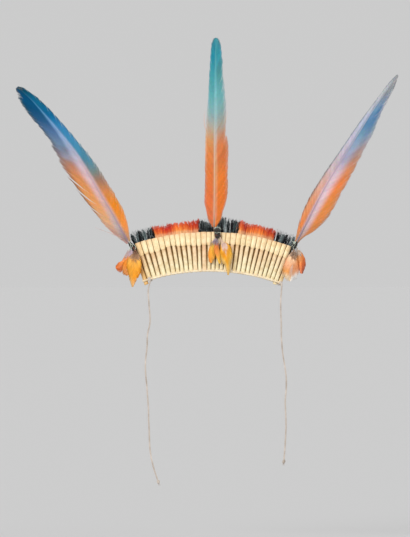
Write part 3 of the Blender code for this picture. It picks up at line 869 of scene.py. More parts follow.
def model_slip():
    """A split of cane: flat behind, rounded in front, its foot trimmed round."""
    thick = SLIP_THICK / MM
    slip = start_shape("slip", (SLIP_WIDE, thick, SLIP_TOP), (0, -0.5 * thick, 0.5 * SLIP_TOP))
    pick(slip, "EDGE", lambda at: at.y < 0.1 - thick and at.x > 0)
    bpy.ops.mesh.bevel(offset=2.2 * MM, segments=4, profile=0.55)
    pick(slip, "EDGE", lambda at: at.y < 0.1 - thick and at.x < -0.45 * SLIP_WIDE)
    bpy.ops.mesh.bevel(offset=2.2 * MM, segments=4, profile=0.55)
    pick(slip, "EDGE", lambda at: at.z < 0.1)
    bpy.ops.mesh.bevel(offset=0.45 * MM, segments=2)
    cut_across((1.5, 4, 8, 12, 16, 20, 24, 28, 32, 36, 40))
    pick(slip, "VERT", lambda at: at.z > SLIP_TOP - 0.1)
    bpy.ops.transform.resize(value=(0.6, 0.7, 1.0), center_override=(0, -0.4 * thick * MM, 0))
    return end_shape(slip)


SLEEVE_WIDE = 7.0
SLEEVE_FOOT = SHOULDER / MM
SLEEVE_TOP = BAND_HEIGHT / MM


def model_sleeve():
    """A short tube of cane, pressed oval, rounded in at the bottom and open at the top."""
    thick = SLEEVE_THICK / MM
    middle = (0, -0.5 * thick, 0.5 * (SLEEVE_FOOT + SLEEVE_TOP))
    size = (SLEEVE_WIDE, thick, SLEEVE_TOP - SLEEVE_FOOT)
    sleeve = start_shape("sleeve", size, middle, cylinder=24)
    cut_across([SLEEVE_FOOT + rise for rise in (0.5, 1.2, 2.2, 3.6, 5.4, 8.5, 12.0, 15.0)])
    for rise, keep in ((0.0, 0.62), (0.5, 0.80), (1.2, 0.90), (2.2, 0.95), (3.6, 0.98), (5.4, 0.995)):
        pick(sleeve, "VERT", lambda at: abs(at.z - SLEEVE_FOOT - rise) < 0.05)
        low = (0, -0.5 * thick * MM, 0)
        deep = 1.0 - 0.6 * (1.0 - keep)
        bpy.ops.transform.resize(value=(keep, deep, 1.0), center_override=low)
    pick(sleeve, "FACE", lambda at: at.z > SLEEVE_TOP - 0.05)
    bpy.ops.mesh.inset(thickness=0.55 * MM)
    bpy.ops.mesh.extrude_region_move(TRANSFORM_OT_translate={"value": (0, 0, -6.5 * MM)})
    bpy.ops.mesh.extrude_region_move(TRANSFORM_OT_translate={"value": (0, 0, -0.4 * MM)})
    bpy.ops.transform.resize(value=(0.7, 0.7, 1.0), center_override=(0, -0.5 * thick * MM, 0))
    pick(sleeve, "EDGE", lambda at: at.z > SLEEVE_TOP - 0.05)
    bpy.ops.mesh.bevel(offset=0.16 * MM, segments=2)
    return end_shape(sleeve)


def lay(model, name, finish, nodes, place, blush, shift):
    """A copy of a straight model, laid where place() puts its points on the band."""
    piece = model.copy()
    piece.data = model.data.copy()
    piece.name = piece.data.name = name
    bpy.context.scene.collection.objects.link(piece)
    mesh = piece.data
    straight = np.empty(3 * len(mesh.vertices))
    mesh.vertices.foreach_get("co", straight)
    straight = straight.reshape(-1, 3)
    grain = mesh.attributes.new("grain", "FLOAT_VECTOR", "POINT")
    grain.data.foreach_set("vector", (straight / MM + shift).ravel())
    for mark, values in (("blush", np.full(len(straight), blush)), ("rise", straight[:, 2] / MM)):
        mesh.attributes.new(mark, "FLOAT", "POINT").data.foreach_set("value", values)
    mesh.vertices.foreach_set("co", place(straight).ravel())
    mesh.update()
    mesh.materials.clear()
    mesh.materials.append(finish)
    return hand_over(piece, nodes)


def make_reeds(slip_skin, sleeve_skin):
    slip_model, sleeve_model = model_slip(), model_sleeve()
    edge = REED_FIRST
    for number, (width, foot, shoulder, blush) in enumerate(REEDS, start=1):
        wide = width * MM
        middle = edge + 0.5 * wide
        edge += wide
        bound = number in (1, len(REEDS))
        lean = RNG.uniform(-0.15, 0.15) * MM
        wave, phase = RNG.uniform(0.05, 0.22) * MM, RNG.uniform(0, 6)
        sink = RNG.uniform(-0.12, 0.12) * MM
        top = BOUND_REED_TOP if bound else SLIP_TOP * MM
        closer = np.interp(number, CLOSER_REEDS, (0.0, CLOSER_BY)) * MM

        def place_slip(at):
            up = at[:, 2] / (SLIP_TOP * MM) * (top + foot * MM) - foot * MM
            rise = np.clip(up, 0.0, SHOULDER)
            half = slip_half(wide, rise) + closer * rise / SHOULDER
            aside = at[:, 0] / (0.5 * SLIP_WIDE * MM) * half
            aside += wave * np.sin(up / (9 * MM) + phase) * np.clip(up / (10 * MM), 0, 1)
            return on_band(middle, up, REED_BACK - at[:, 1], aside)

        shift = (0.0, 0.0, 53.0 * number)
        name = f"reed_{number:02d}"
        lay(slip_model, name + "_slip", slip_skin, [name], place_slip, blush, shift)
        if bound:
            continue
        start = SHOULDER + shoulder * MM
        crown = RNG.uniform(-0.5, 0.3) * MM

        def place_sleeve(at):
            share = (at[:, 2] - SHOULDER) / (BAND_HEIGHT - SHOULDER)
            up = start + share * (BAND_HEIGHT + crown - start)
            half = 0.5 * (wide * spread(up) - SLEEVE_GAP)
            aside = at[:, 0] / (0.5 * SLEEVE_WIDE * MM) * half + lean * (1 - share)
            return on_band(middle, up, REED_BACK - at[:, 1] + sink * (1 - share), aside)

        lay(sleeve_model, name + "_sleeve", sleeve_skin, [name], place_sleeve, blush, shift)
    for model in (slip_model, sleeve_model):
        bpy.data.objects.remove(model)


def make_backing(bark):
    """A strip of bark behind the reeds, with worn edges."""
    edges = reed_edges()
    first, last = edges[1] - BACKING_PAST, edges[-2] + BACKING_PAST
    bpy.ops.mesh.primitive_grid_add(x_subdivisions=128, y_subdivisions=12, size=1.0)
    strip = bpy.context.object
    strip.name = "strip"
    strip.scale = (last - first, BACKING_TOP - BACKING_FOOT, 1.0)
    strip.rotation_euler = (math.radians(90.0), 0.0, 0.0)
    strip.location = (0.5 * (first + last), -0.5 * BACKING_THICK, 0.5 * (BACKING_FOOT + BACKING_TOP))
    bpy.ops.object.transform_apply(location=True, rotation=True, scale=True)
    thickness = strip.modifiers.new("thickness", "SOLIDIFY")
    thickness.thickness = 0.8 * BACKING_THICK
    thickness.offset = 0.0
    bpy.ops.object.modifier_apply(modifier="thickness")
    strip.select_set(False)

    def place(at):
        wear = np.sin(at[:, 0] / (3.1 * MM)) + np.sin(at[:, 0] / (7.7 * MM) + 1.0)
        from_middle = (at[:, 2] - 30 * MM) / (26 * MM)
        up = at[:, 2] + 0.25 * MM * wear * from_middle
        buckle = 0.08 * MM * np.sin(at[:, 0] / (4.3 * MM) + at[:, 2] / (9 * MM))
        return on_band(at[:, 0], up, -at[:, 1] + buckle)

    lay(strip, "backing_bark", bark, ["backing_strip"], place, 0.0, (0, 0, 0))
    bpy.data.objects.remove(strip)


# ------------------------------------------------------------------ the base cords and bindings
def make_base_cords(cotton, lashing):
    """Two twisted cords along the lower edge, whipped together with a fine thread."""
    gaps = reed_edges()
    arcs = np.linspace(gaps[0] + 0.5 * MM, gaps[-1] - 0.5 * MM, 120)
    for name, out in zip(("base_cord_front", "base_cord_back"), BASE_CORD_OUTS):
        line = on_band(arcs, BASE_CORD_HEIGHT, out)
        parts, _ = twisted(line, BASE_CORD_RADIUS, BASE_CORD_PITCH)
        add_piece(name + "_twist", parts, cotton, [name])
    turns = len(REEDS)
    share = np.linspace(0.0, turns, 16 * turns + 1)
    arc = np.interp(share, np.arange(len(gaps)), gaps)
    # The thread passes between two reeds, then slants over the next one and under the edge.
    phase = 2 * np.pi * share
    mid_out = 0.5 * (BASE_CORD_OUTS[0] + BASE_CORD_OUTS[1])
    out = mid_out + (0.5 * (BASE_CORD_OUTS[0] - BASE_CORD_OUTS[1]) + 1.5 * MM) * np.sin(phase - 0.5)
    up = BASE_CORD_HEIGHT + 1.75 * MM * np.cos(phase - 0.5)
    line = on_band(arc, up, out)
    corners, faces = tube(line, 0.28 * MM, 6)
    marks = np.repeat(np.stack([run_along(line) / MM] * 3, -1), 6, axis=0)
    add_piece("rim_lashing", [(corners, faces, marks)], lashing, [])


def wound(middle, wide, deep, thread, pitch):
    """A core along a line and a thread wound round it in close turns: parts for join()."""
    run = run_along(middle)

    def sections(count):
        place = np.linspace(0.0, run[-1], count)
        centre = between(place, run, middle)
        ahead = unit(np.gradient(centre, axis=0))
        across = unit(np.cross(ahead, outward(centre[:, 0])))
        front = np.cross(across, ahead)
        widths, depths = np.interp(place, run, wide), np.interp(place, run, deep)
        return place, centre, across * widths[:, None], front * depths[:, None]

    place, centre, across, front = sections(int(14 * run[-1] / pitch))
    turn = 2 * np.pi * (place / pitch + 0.16 * ripple(len(place), 20))[:, None]
    snug = 1.0 + 0.05 * ripple(len(place), 25)[:, None]
    parts = [mark_tube(centre + snug * (across * np.cos(turn) + front * np.sin(turn)), thread, 6)]
    sides = 14
    around = np.linspace(0, 2 * np.pi, sides, endpoint=False)[:, None]
    _, centre, across, front = sections(12)
    core = [
        here + 0.88 * (aside * np.cos(around) + ahead * np.sin(around))
        for here, aside, ahead in zip(centre, across, front)
    ]
    corners = np.concatenate(core)
    parts.append((corners, tube_faces(len(core), sides), corners / MM))
    return parts


def loose_thread(start, way, length, sag, radius):
    """A thread's loose end, which curls over."""
    share = np.linspace(0.0, 1.0, 12)[:, None]
    line = start + share * way * length + share**2 * sag
    line = line + 0.4 * MM * np.sin(9 * share + start[0] / MM) * share
    return mark_tube(line, np.linspace(radius, 0.6 * radius, 12), 5)


def knotted(middle, size, radius):
    """A small hard knot: a thread's trefoil pulled tight."""
    wide, high, deep = trefoil(np.linspace(0.0, 2 * np.pi, 49))
    line = middle + size * np.stack([wide, 0.55 * deep, high], -1)
    return mark_tube(line, radius, 6)


def before_band(rows):
    """Points at so many millimetres across, up, and out from the band's back face."""
    x, z, out = np.array(rows, float).T * MM
    return np.stack([x, ahead_of_band(x, out), z], -1)


def make_bindings(threads):
    """Threads wound round the feathers' feet, with the knots and pale strands over them."""
    for name, rows in BINDINGS.items():
        arc, up, out, wide, deep = smooth_table(rows, 60).T * MM
        parts = wound(on_band(arc, up, out), wide, deep, 0.33 * MM, 0.72 * MM)
        turns = smooth_table(WRAPS[name], 60)
        wide, deep = turns[:, 3:].T * MM
        parts += wound(before_band(turns[:, :3]), wide, deep, 0.3 * MM, 0.68 * MM)
        bundles = {"dark": parts}
        for x, z, out, size, thread in KNOTS[name]:
            middle = before_band([(x, z, out)])[0]
            knot = bundles.setdefault(thread, [])
            knot.append(knotted(middle, size * MM, 0.34 * size * MM))
            for _ in range(3):
                way = unit(np.array([RNG.normal(0, 0.7), -0.4, RNG.normal(0, 0.8)]))
                sag = np.array([0.0, 0.4, -1.6]) * MM
                knot.append(loose_thread(middle, way, RNG.uniform(3.0, 6.5) * MM, sag, 0.2 * MM))
        for rows in STRANDS[name]:
            line = before_band(smooth_table(rows, 8 * len(rows)))
            bundles.setdefault("pale", []).append(mark_tube(line, 0.32 * MM, 6))
        for thread, parts in bundles.items():
            add_piece(f"binding_{thread}_{name}", parts, threads[thread], [f"binding_{name}"])


def make_hitches(cotton):
    """Each tie goes twice round the rim, between two reeds, before it hangs free."""
    gaps = reed_edges()
    for name, rows in TIES.items():
        top = np.array(rows[0]) * MM
        arc = FAN_RADIUS * math.asin((top[0] - FAN_MIDDLE) / FAN_RADIUS)
        arc = float(np.clip(arc, gaps[0] + HITCH_WIDE * MM, gaps[-1] - HITCH_WIDE * MM))
        turn = np.linspace(-3.5, 0.5, 40) * np.pi
        across = arc + np.linspace(-HITCH_WIDE, 0.0, 40) * MM * np.sign(arc)
        out = 0.5 * sum(BASE_CORD_OUTS) + HITCH_DEEP * MM * np.sin(turn)
        loop = on_band(across, BASE_CORD_HEIGHT + HITCH_TALL * MM * np.cos(turn), out)
        line = smooth_table(np.concatenate([loop, [top]]), 160)
        parts, _ = twisted(line, TIE_RADIUS, TIE_PITCH)
        add_piece(f"tie_hitch_{name}", parts, cotton, [])


# ------------------------------------------------------------------ feathers, barb by barb
def make_shaft(points, reach, facing):
    """A feather's line with the directions across it and out of its face, and its reach."""
    ahead = unit(np.gradient(points, axis=0))
    side = unit(np.cross(ahead, facing))
    hand = np.sign(side[:, 0].sum())
    side = side * hand
    face = unit(facing - ahead * np.sum(facing * ahead, axis=-1, keepdims=True))
    run = run_along(points)
    return {"run": run, "point": points, "ahead": ahead, "side": side, "face": face, "reach": reach}


def read(shaft, name, place):
    """What the shaft holds under that name at places along it; past its end it runs straight on."""
    held = between(place, shaft["run"], shaft[name])
    if name == "point":
        held = held + np.maximum(place - shaft["run"][-1], 0.0)[..., None] * shaft["ahead"][-1]
    return held


# Where a barb has its rings, as shares of its length.
TAIL_STEPS = (0.0, 0.08, 0.22, 0.42, 0.64, 0.84, 1.0)
TASSEL_STEPS = (0.0, 0.2, 0.45, 0.72, 1.0)
FRINGE_STEPS = (0.0, 0.35, 0.72, 1.0)
BARB_TILT = 0.08  # in radians, so that each barb overlaps the next like a louvre
QUILL_END = 0.985  # as a share of the feather's line


def clumps(count, size):
    """Barbs cling in clumps: the middle of each barb's clump, and that clump's chance number."""
    ends = [0]
    while ends[-1] < count:
        ends.append(ends[-1] + max(int(RNG.normal(size, 0.4 * size)), 2))
    which = np.searchsorted(ends, np.arange(count), side="right") - 1
    middle = np.array([0.5 * (a + b - 1) for a, b in zip(ends, ends[1:])])
    return middle[which], RNG.uniform(0, 1, len(middle))[which]


def make_vane(shaft, hand, count, first, slant, camber, fray, splits=(), steps=TAIL_STEPS,
              thick=0.035, loose=0.0, curl=0.0, overlap=0.62, dropped=0.0, clump=9, cling=0.25,
              ragged=0.05):
    """One side of a feather: slender barbs that leave the shaft in turn and lie edge to edge."""
    long = shaft["run"][-1]
    # The barbs are as far apart where they lean steeply as where they stand out square.
    fine = np.linspace(first, 1.0, 400)
    crowd = np.cumsum(np.sin(np.radians(np.interp(fine, *zip(*slant)))))
    share = np.interp(np.linspace(crowd[0], crowd[-1], count), crowd, fine)
    tip = share * long
    reach = read(shaft, "reach", tip)[:, 0 if hand < 0 else 1]
    # The last few barbs close the blunt end.
    closing = max(int(0.07 * count), 3)
    share = np.append(share, np.ones(closing))
    tip = np.append(tip, long + 0.25 * reach[-1] * np.linspace(0.1, 1.0, closing))
    reach = np.append(reach, reach[-1] * np.linspace(0.92, 0.05, closing))
    count += closing
    angle = np.interp(share, *zip(*slant))
    lowest = first * long + 0.3 * (tip - first * long)
    root = np.maximum(tip - reach / np.tan(np.radians(angle)), lowest)
    root = np.maximum.accumulate(root)
    window = np.ones(2 * (count // 30) + 1)
    root = np.convolve(np.pad(root, len(window) // 2, mode="edge"), window / len(window), "valid")
    steps = np.array(steps)

    def lie(q, along_more=0.0):
        """The places of the barbs' points, each at a share q of its own length."""
        along = root[:, None] + (tip - root)[:, None] * (0.8 * q + 0.2 * q**2) + along_more
        across = 1.22 * q - 0.22 * q**2
        aside = read(shaft, "side", along) * (hand * reach[:, None] * across)[..., None]
        return along, across, read(shaft, "point", along) + aside

    apart = np.gradient(lie(steps[None, :] + np.zeros((count, 1)))[2], axis=0)
    # Near the margin, clumps of barbs draw together, and a slit parts them further.
    middle, chance = clumps(count, clump)
    drawn = cling * (np.interp(middle, np.arange(count), tip) - tip)
    length = (1.0 - fray * np.abs(RNG.normal(0, 1, count))) * (1.0 + ragged * (chance - 0.5))
    # The margin steps in past each slit.
    for place, wide, decay, _ in splits:
        length *= 1.0 - 0.013 * wide * np.sign(share - place) * np.exp(-np.abs(share - place) / decay)
    q = steps[None, :] * length[:, None]
    free = np.clip((q - 0.4) / 0.6, 0.0, 1.0) ** 1.5
    drift = drawn[:, None] * free
    for place, wide, decay, start in splits:
        off = (share - place)[:, None]
        wedge = np.clip((q - start) / 0.3, 0.0, 1.0)
        drift += 0.5 * wide * MM * np.sign(off) * np.exp(-np.abs(off) / decay) * wedge
    along, across, point = lie(q, drift + loose * RNG.normal(0, 1, (count, 1)) * q**2)
    face = read(shaft, "face", along)
    lift = -camber * reach[:, None] * across**2 + 0.10 * MM * ripple(count, 9)[:, None] * q
    lift = lift + (loose * RNG.normal(0, 1, count) + curl * RNG.uniform(0, 1, count))[:, None] * q**2
    point = point + face * lift[..., None]
    way = unit(np.gradient(point, axis=1))
    flat = unit(np.cross(face, way))
    half = overlap * np.abs(np.sum(apart * flat, axis=-1))
    half = np.minimum(half, 4.0 * np.median(half, axis=0) + 0.02 * MM)
    half = half * (1.0 - cling * free) * np.where(steps > 0.9, 0.5, 1.0) + 0.02 * MM
    normal = np.cross(way, flat)
    turned = flat * np.cos(BARB_TILT) + normal * np.sin(BARB_TILT) * hand
    normal = np.cross(way, turned)
    ring = np.stack(
        [
            point + turned * half[..., None],
            point + normal * thick * MM,
            point - turned * half[..., None],
            point - normal * thick * MM,
        ],
        axis=2,
    )
    tone = 0.5 + 0.24 * ripple(count, 7) + 0.08 * ripple(count, 1.5)
    tone = np.broadcast_to(tone[:, None], along.shape)
    marks = np.repeat(np.stack([along / long, hand * across, tone], -1)[:, :, None], 4, axis=2)
    kept = RNG.uniform(0, 1, count) >= dropped
    ring, marks = ring[kept], marks[kept]
    return ring.reshape(-1, 3), tube_faces(len(steps), 4, int(kept.sum())), marks.reshape(-1, 3)


def shaft_tube(shaft, thick_foot, thick_tip, sides, count, proud=0.0):
    """The feather's shaft: a slender quill that tapers to its tip."""
    shares = np.linspace(0.0, QUILL_END, count)
    places = shares * shaft["run"][-1]
    line = read(shaft, "point", places) + read(shaft, "face", places) * proud
    radii = thick_foot + (thick_tip - thick_foot) * np.linspace(0, 1, count) ** 0.7
    corners, faces = tube(line, radii, sides)
    marks = np.stack([shares, np.zeros(count), np.full(count, 0.5)], -1)
    return corners, faces, np.repeat(marks, sides, axis=0)


def down(shaft, count, first, last, length, droop):
    """Fluffy barbs without hooks, at a feather's foot: each one curls its own way."""
    parts = []
    for _ in range(count):
        place = RNG.uniform(first, last) * shaft["run"][-1]
        start, side, face = (read(shaft, key, np.array([place]))[0] for key in ("point", "side", "face"))
        ahead = unit(read(shaft, "point", np.array([place + 2 * MM]))[0] - start + 1e-9)
        way = side * RNG.choice([-1, 1]) * RNG.uniform(0.5, 1.0) + ahead * RNG.uniform(0.2, 1.1)
        way = unit(way + face * RNG.uniform(-0.15, 0.5))
        far = length * RNG.uniform(0.5, 1.1)
        q = np.linspace(0, 1, 6)[:, None]
        line = start + way * far * q + droop * far * q**2 * RNG.uniform(0.3, 1.2)
        line = line + side * 0.07 * far * np.sin(RNG.uniform(4, 9) * q + RNG.uniform(0, 6)) * q
        mark = [place / shaft["run"][-1], 0.5, RNG.uniform(0, 1)]
        parts.append(even_tube(line, np.linspace(0.13, 0.04, 6) * MM, 4, mark))
    return parts


# ------------------------------------------------------------------ the three tail feathers
TAIL_FACTS = {
    # for each side: the slits (share of the run, width in mm, how far along it tells, the share of
    # a barb's length where it starts to open), clump, ragged
    "left": (
        ([(0.30, 3.6, 0.016, 0.55), (0.395, 6.0, 0.022, 0.50), (0.475, 7.0, 0.024, 0.55),
          (0.53, 1.6, 0.01, 0.6), (0.60, 1.4, 0.01, 0.6), (0.985, 3.0, 0.008, 0.6)], 8, 0.09),
        ([(0.42, 3.4, 0.014, 0.8), (0.474, 4.4, 0.018, 0.8), (0.53, 5.0, 0.018, 0.8),
          (0.586, 5.6, 0.020, 0.8), (0.66, 3.4, 0.014, 0.8), (0.78, 2.4, 0.01, 0.8),
          (0.97, 1.8, 0.006, 0.7)], 14, 0.10),
    ),
    "centre": (
        ([(0.46, 1.4, 0.012, 0.7), (0.56, 2.4, 0.01, 0.75), (0.72, 2.0, 0.01, 0.8),
          (0.84, 2.0, 0.01, 0.8), (0.93, 1.4, 0.006, 0.7)], 11, 0.07),
        ([(0.37, 1.4, 0.006, 0.6), (0.50, 2.4, 0.012, 0.8), (0.62, 2.2, 0.01, 0.8),
          (0.77, 2.6, 0.008, 0.5), (0.82, 2.6, 0.008, 0.5), (0.865, 1.8, 0.006, 0.6)], 10, 0.08),
    ),
    "right": (
        ([(0.16, 2.6, 0.01, 0.6), (0.30, 1.0, 0.01, 0.8), (0.86, 1.2, 0.01, 0.8)], 12, 0.06),
        ([(0.22, 3.0, 0.012, 0.8), (0.32, 3.2, 0.012, 0.8), (0.56, 1.2, 0.008, 0.8),
          (0.872, 4.4, 0.014, 0.6), (0.93, 2.4, 0.01, 0.6)], 14, 0.06),
    ),
}
# How steeply the barbs lean, in degrees, from place to place along a feather.
TAIL_SLANT = ((0.0, 52), (0.15, 31), (0.5, 26), (0.85, 21), (1.0, 15))
STRAYS = {
    # radius at the foot in mm, then the x and z of each point along the barb
    "left": [
        (0.60, [(-136.6, 48.6), (-148.0, 54.4), (-160.0, 59.4), (-176.8, 66.0)]),
        (0.45, [(-137.6, 49.2), (-150.0, 55.8), (-161.0, 59.8), (-171.0, 62.6)]),
        (0.40, [(-122.2, 42.0), (-123.8, 48.0), (-126.0, 53.0), (-129.2, 58.6)]),
        (0.16, [(-190.0, 101.0), (-194.0, 105.0), (-199.0, 113.0)]),
    ],
    "centre": [
        (0.20, [(-10.6, 212.0), (-11.8, 222.0), (-12.2, 231.0), (-11.4, 241.0)]),
        (0.16, [(-11.0, 214.0), (-12.8, 222.0), (-13.4, 228.0), (-12.8, 236.0)]),
        (0.15, [(18.6, 226.0), (21.6, 233.0), (22.0, 240.0)]),
    ],
    "right": [
        (0.22, [(132.0, 68.0), (132.4, 78.0), (134.4, 90.0)]),
        (0.18, [(243.0, 232.0), (252.0, 240.0), (258.0, 250.0), (263.4, 264.4)]),
        (0.16, [(262.0, 262.0), (265.6, 268.0), (266.2, 275.0)]),
    ],
}


def stray(shaft, way, width):
    """A barb that has sprung out of the vane."""
    table = smooth_table(way, 14) * MM
    back = np.interp(table[:, 1], shaft["point"][:, 2], shaft["point"][:, 1])
    line = np.stack([table[:, 0], back + 0.5 * MM, table[:, 1]], -1)
    return even_tube(line, np.linspace(width, 0.25 * width, 14) * MM, 5, [0.14, 0.0, 1.0])


def make_tails(barbs, quills):
    for name, rows in TAILS.items():
        table = smooth_table(rows, 12 * len(rows)) * MM
        root_x = rows[0][0] * MM
        front = outward(root_x)
        root = np.array([0.0, bend_back(root_x), 0.0]) + front * (REED_BACK + 0.5 * SLEEVE_THICK)
        points = np.stack([table[:, 0], root[1] + table[:, 2], table[:, 1]], -1)
        shaft = make_shaft(points, table[:, 3:5], np.broadcast_to(front, points.shape))
        first = np.interp(1.0, np.linspace(0, len(rows) - 1, len(table)), shaft["run"])
        first /= shaft["run"][-1]
        parts = [
            make_vane(shaft, hand, 460, first, TAIL_SLANT, 0.09, 0.025, splits,
                      clump=clump, cling=0.14, ragged=ragged)
            for hand, (splits, clump, ragged) in zip((-1, 1), TAIL_FACTS[name])
        ]
        parts += [stray(shaft, way, width) for width, way in STRAYS[name]]
        node_name = f"tail_feather_{name}"
        add_piece(f"tail_vanes_{name}", parts, barbs[name], [node_name])
        quill = [shaft_tube(shaft, 1.2 * MM, 0.26 * MM, sides=10, count=70, proud=0.1 * MM)]
        add_piece(f"tail_quill_{name}", quill, quills[name], [node_name])


# ------------------------------------------------------------------ fringe and tassels
FRINGE_SLANT = ((0.0, 40), (0.4, 26), (1.0, 14))
FRINGE_KINDS = {
    # from feather to feather in mm, splay at the ends, lean, least half width, barbs to a side,
    # how the barbs lie, single hairs
    "red": (1.2, 0.0, 0.7, 1.8, 22, {
        "fray": 0.12, "loose": 0.16 * MM, "curl": 0.3 * MM, "overlap": 0.60, "dropped": 0.0,
    }, 2),
    "black": (1.05, 1.6, 1.8, 1.5, 26, {
        "fray": 0.22, "loose": 0.32 * MM, "curl": 0.6 * MM, "overlap": 0.56, "dropped": 0.06,
    }, 5),
}


def small_shaft(foot, tip, sway, half, facing):
    """A short feather's shaft, bent a little, with the reach of its barbs and a blunt tip."""
    share = np.linspace(0.0, 1.0, 12)
    points = foot + share[:, None] * (tip - foot) + (share**2)[:, None] * sway
    places, fullness = (0, 0.12, 0.4, 0.75, 0.94, 1.0), (0.15, 0.5, 0.86, 1.0, 0.86, 0.5)
    reach = half * np.interp(share, places, fullness)
    return make_shaft(points, np.stack([reach, reach], -1), np.broadcast_to(facing, points.shape))


def make_fringes(finishes):
    for name, start, end, height, ragged, tuft in FRINGES:
        kind = "red" if "red" in name else "black"
        apart, splay, lean, least, barbs, lie, stray_hairs = FRINGE_KINDS[kind]
        parts = []
        count = int((end - start) / apart)
        swell = ripple(count, 3.0)
        for k in range(count):
            share = (k + 0.5) / count
            arc = (start + (end - start) * share + splay * (2 * share - 1)) * MM
            tall = height + ragged * (0.5 * swell[k] + RNG.uniform(-0.7, 0.5))
            if tuft is not None:
                tall += 3.0 * math.exp(-(((share - tuft) * (end - start) / 3.5) ** 2))
            layer = RNG.uniform(-0.9, 0.9)
            foot = on_band(arc, BAND_HEIGHT - 5.0 * MM, FRINGE_FOOT_OUT + 0.5 * layer * MM)[0]
            tip_arc = arc + RNG.normal(0, lean) * MM
            tip = on_band(tip_arc, BAND_HEIGHT + tall * MM, FRINGE_TIP_OUT + layer * MM)[0]
            facing = outward(foot[0])
            sway = facing * RNG.uniform(-0.6, 1.2) * MM
            half = RNG.uniform(least, 2.8) * MM
            shaft = small_shaft(foot, tip, sway, half, facing)
            for hand in (-1, 1):
                vane = make_vane(shaft, hand, barbs, 0.08, FRINGE_SLANT, 0.15, steps=FRINGE_STEPS,
                                 thick=0.05, clump=4, cling=0.4, ragged=0.3, **lie)
                vane[2][:, 1] = arc / MM
                vane[2][:, 2] = 0.45 * vane[2][:, 2] + 0.55 * RNG.uniform()
                parts.append(vane)
            quill = shaft_tube(shaft, 0.28 * MM, 0.1 * MM, sides=4, count=6)
            quill[2][:, 1] = arc / MM
            parts.append(quill)
            parts += hairs(arc, height + ragged, stray_hairs)
        add_piece(name + "_feathers", parts, finishes[kind], [name])


def hairs(arc, height, count):
    """Single barbs that stand out past a fringe's trimmed edge."""
    parts = []
    for _ in range(count):
        start = arc + RNG.normal(0, 1.0) * MM
        lean, bow = RNG.normal(0, 2.2), RNG.normal(0, 0.8)
        q = np.linspace(0.0, 1.0, 6)
        up = BAND_HEIGHT + (0.35 + 0.65 * q) * height * RNG.uniform(0.8, 1.08) * MM
        out = FRINGE_TIP_OUT + (RNG.uniform(-1.2, 1.2) + 0.6 * q) * MM
        line = on_band(start + (lean * q + bow * q**2) * MM, up, out)
        mark = [0.9, arc / MM, RNG.uniform()]
        parts.append(even_tube(line, np.linspace(0.13, 0.05, 6) * MM, 3, mark))
    return parts


DOWNY = {
    # how many barbs of down
    "left_outer": 90, "left_middle": 110, "left_inner": 190, "centre_left": 110,
    "centre_middle": 50, "centre_right": 80, "right_inner": 180, "right_outer": 45,
}
TASSEL_SLANT = ((0.0, 50), (0.35, 40), (0.8, 30), (1.0, 18))


def make_tassels(finishes):
    for name, rows in TASSELS.items():
        table = smooth_table(rows, 8 * len(rows)) * MM
        facing = outward(table[:, 0])
        points = np.stack([table[:, 0], ahead_of_band(table[:, 0], table[:, 2]), table[:, 1]], -1)
        shaft = make_shaft(points, table[:, 3:5], facing)
        bright = TASSEL_PAINTS[name][0]
        parts = []
        for hand in (-1, 1):
            splits = [
                (RNG.uniform(0.6, 0.9), 1.2, 0.03, 0.6),
                (RNG.uniform(0.8, 0.97), 1.4, 0.02, 0.6),
            ]
            vane = make_vane(shaft, hand, 130, min(0.5 * bright, 0.18), TASSEL_SLANT, 0.16, 0.05,
                             splits, steps=TASSEL_STEPS, loose=0.05 * MM, overlap=0.85, clump=11,
                             cling=0.14, ragged=0.10)
            parts.append(vane)
        parts.append(shaft_tube(shaft, 0.6 * MM, 0.12 * MM, sides=6, count=20, proud=0.15 * MM))
        parts += down(shaft, DOWNY[name], 0.15 * bright, bright, 6.5 * MM, np.array([0.0, 0.0, -0.5]))
        node_name = f"tassel_{name}"
        add_piece(node_name + "_feather", parts, finishes[name], [node_name])


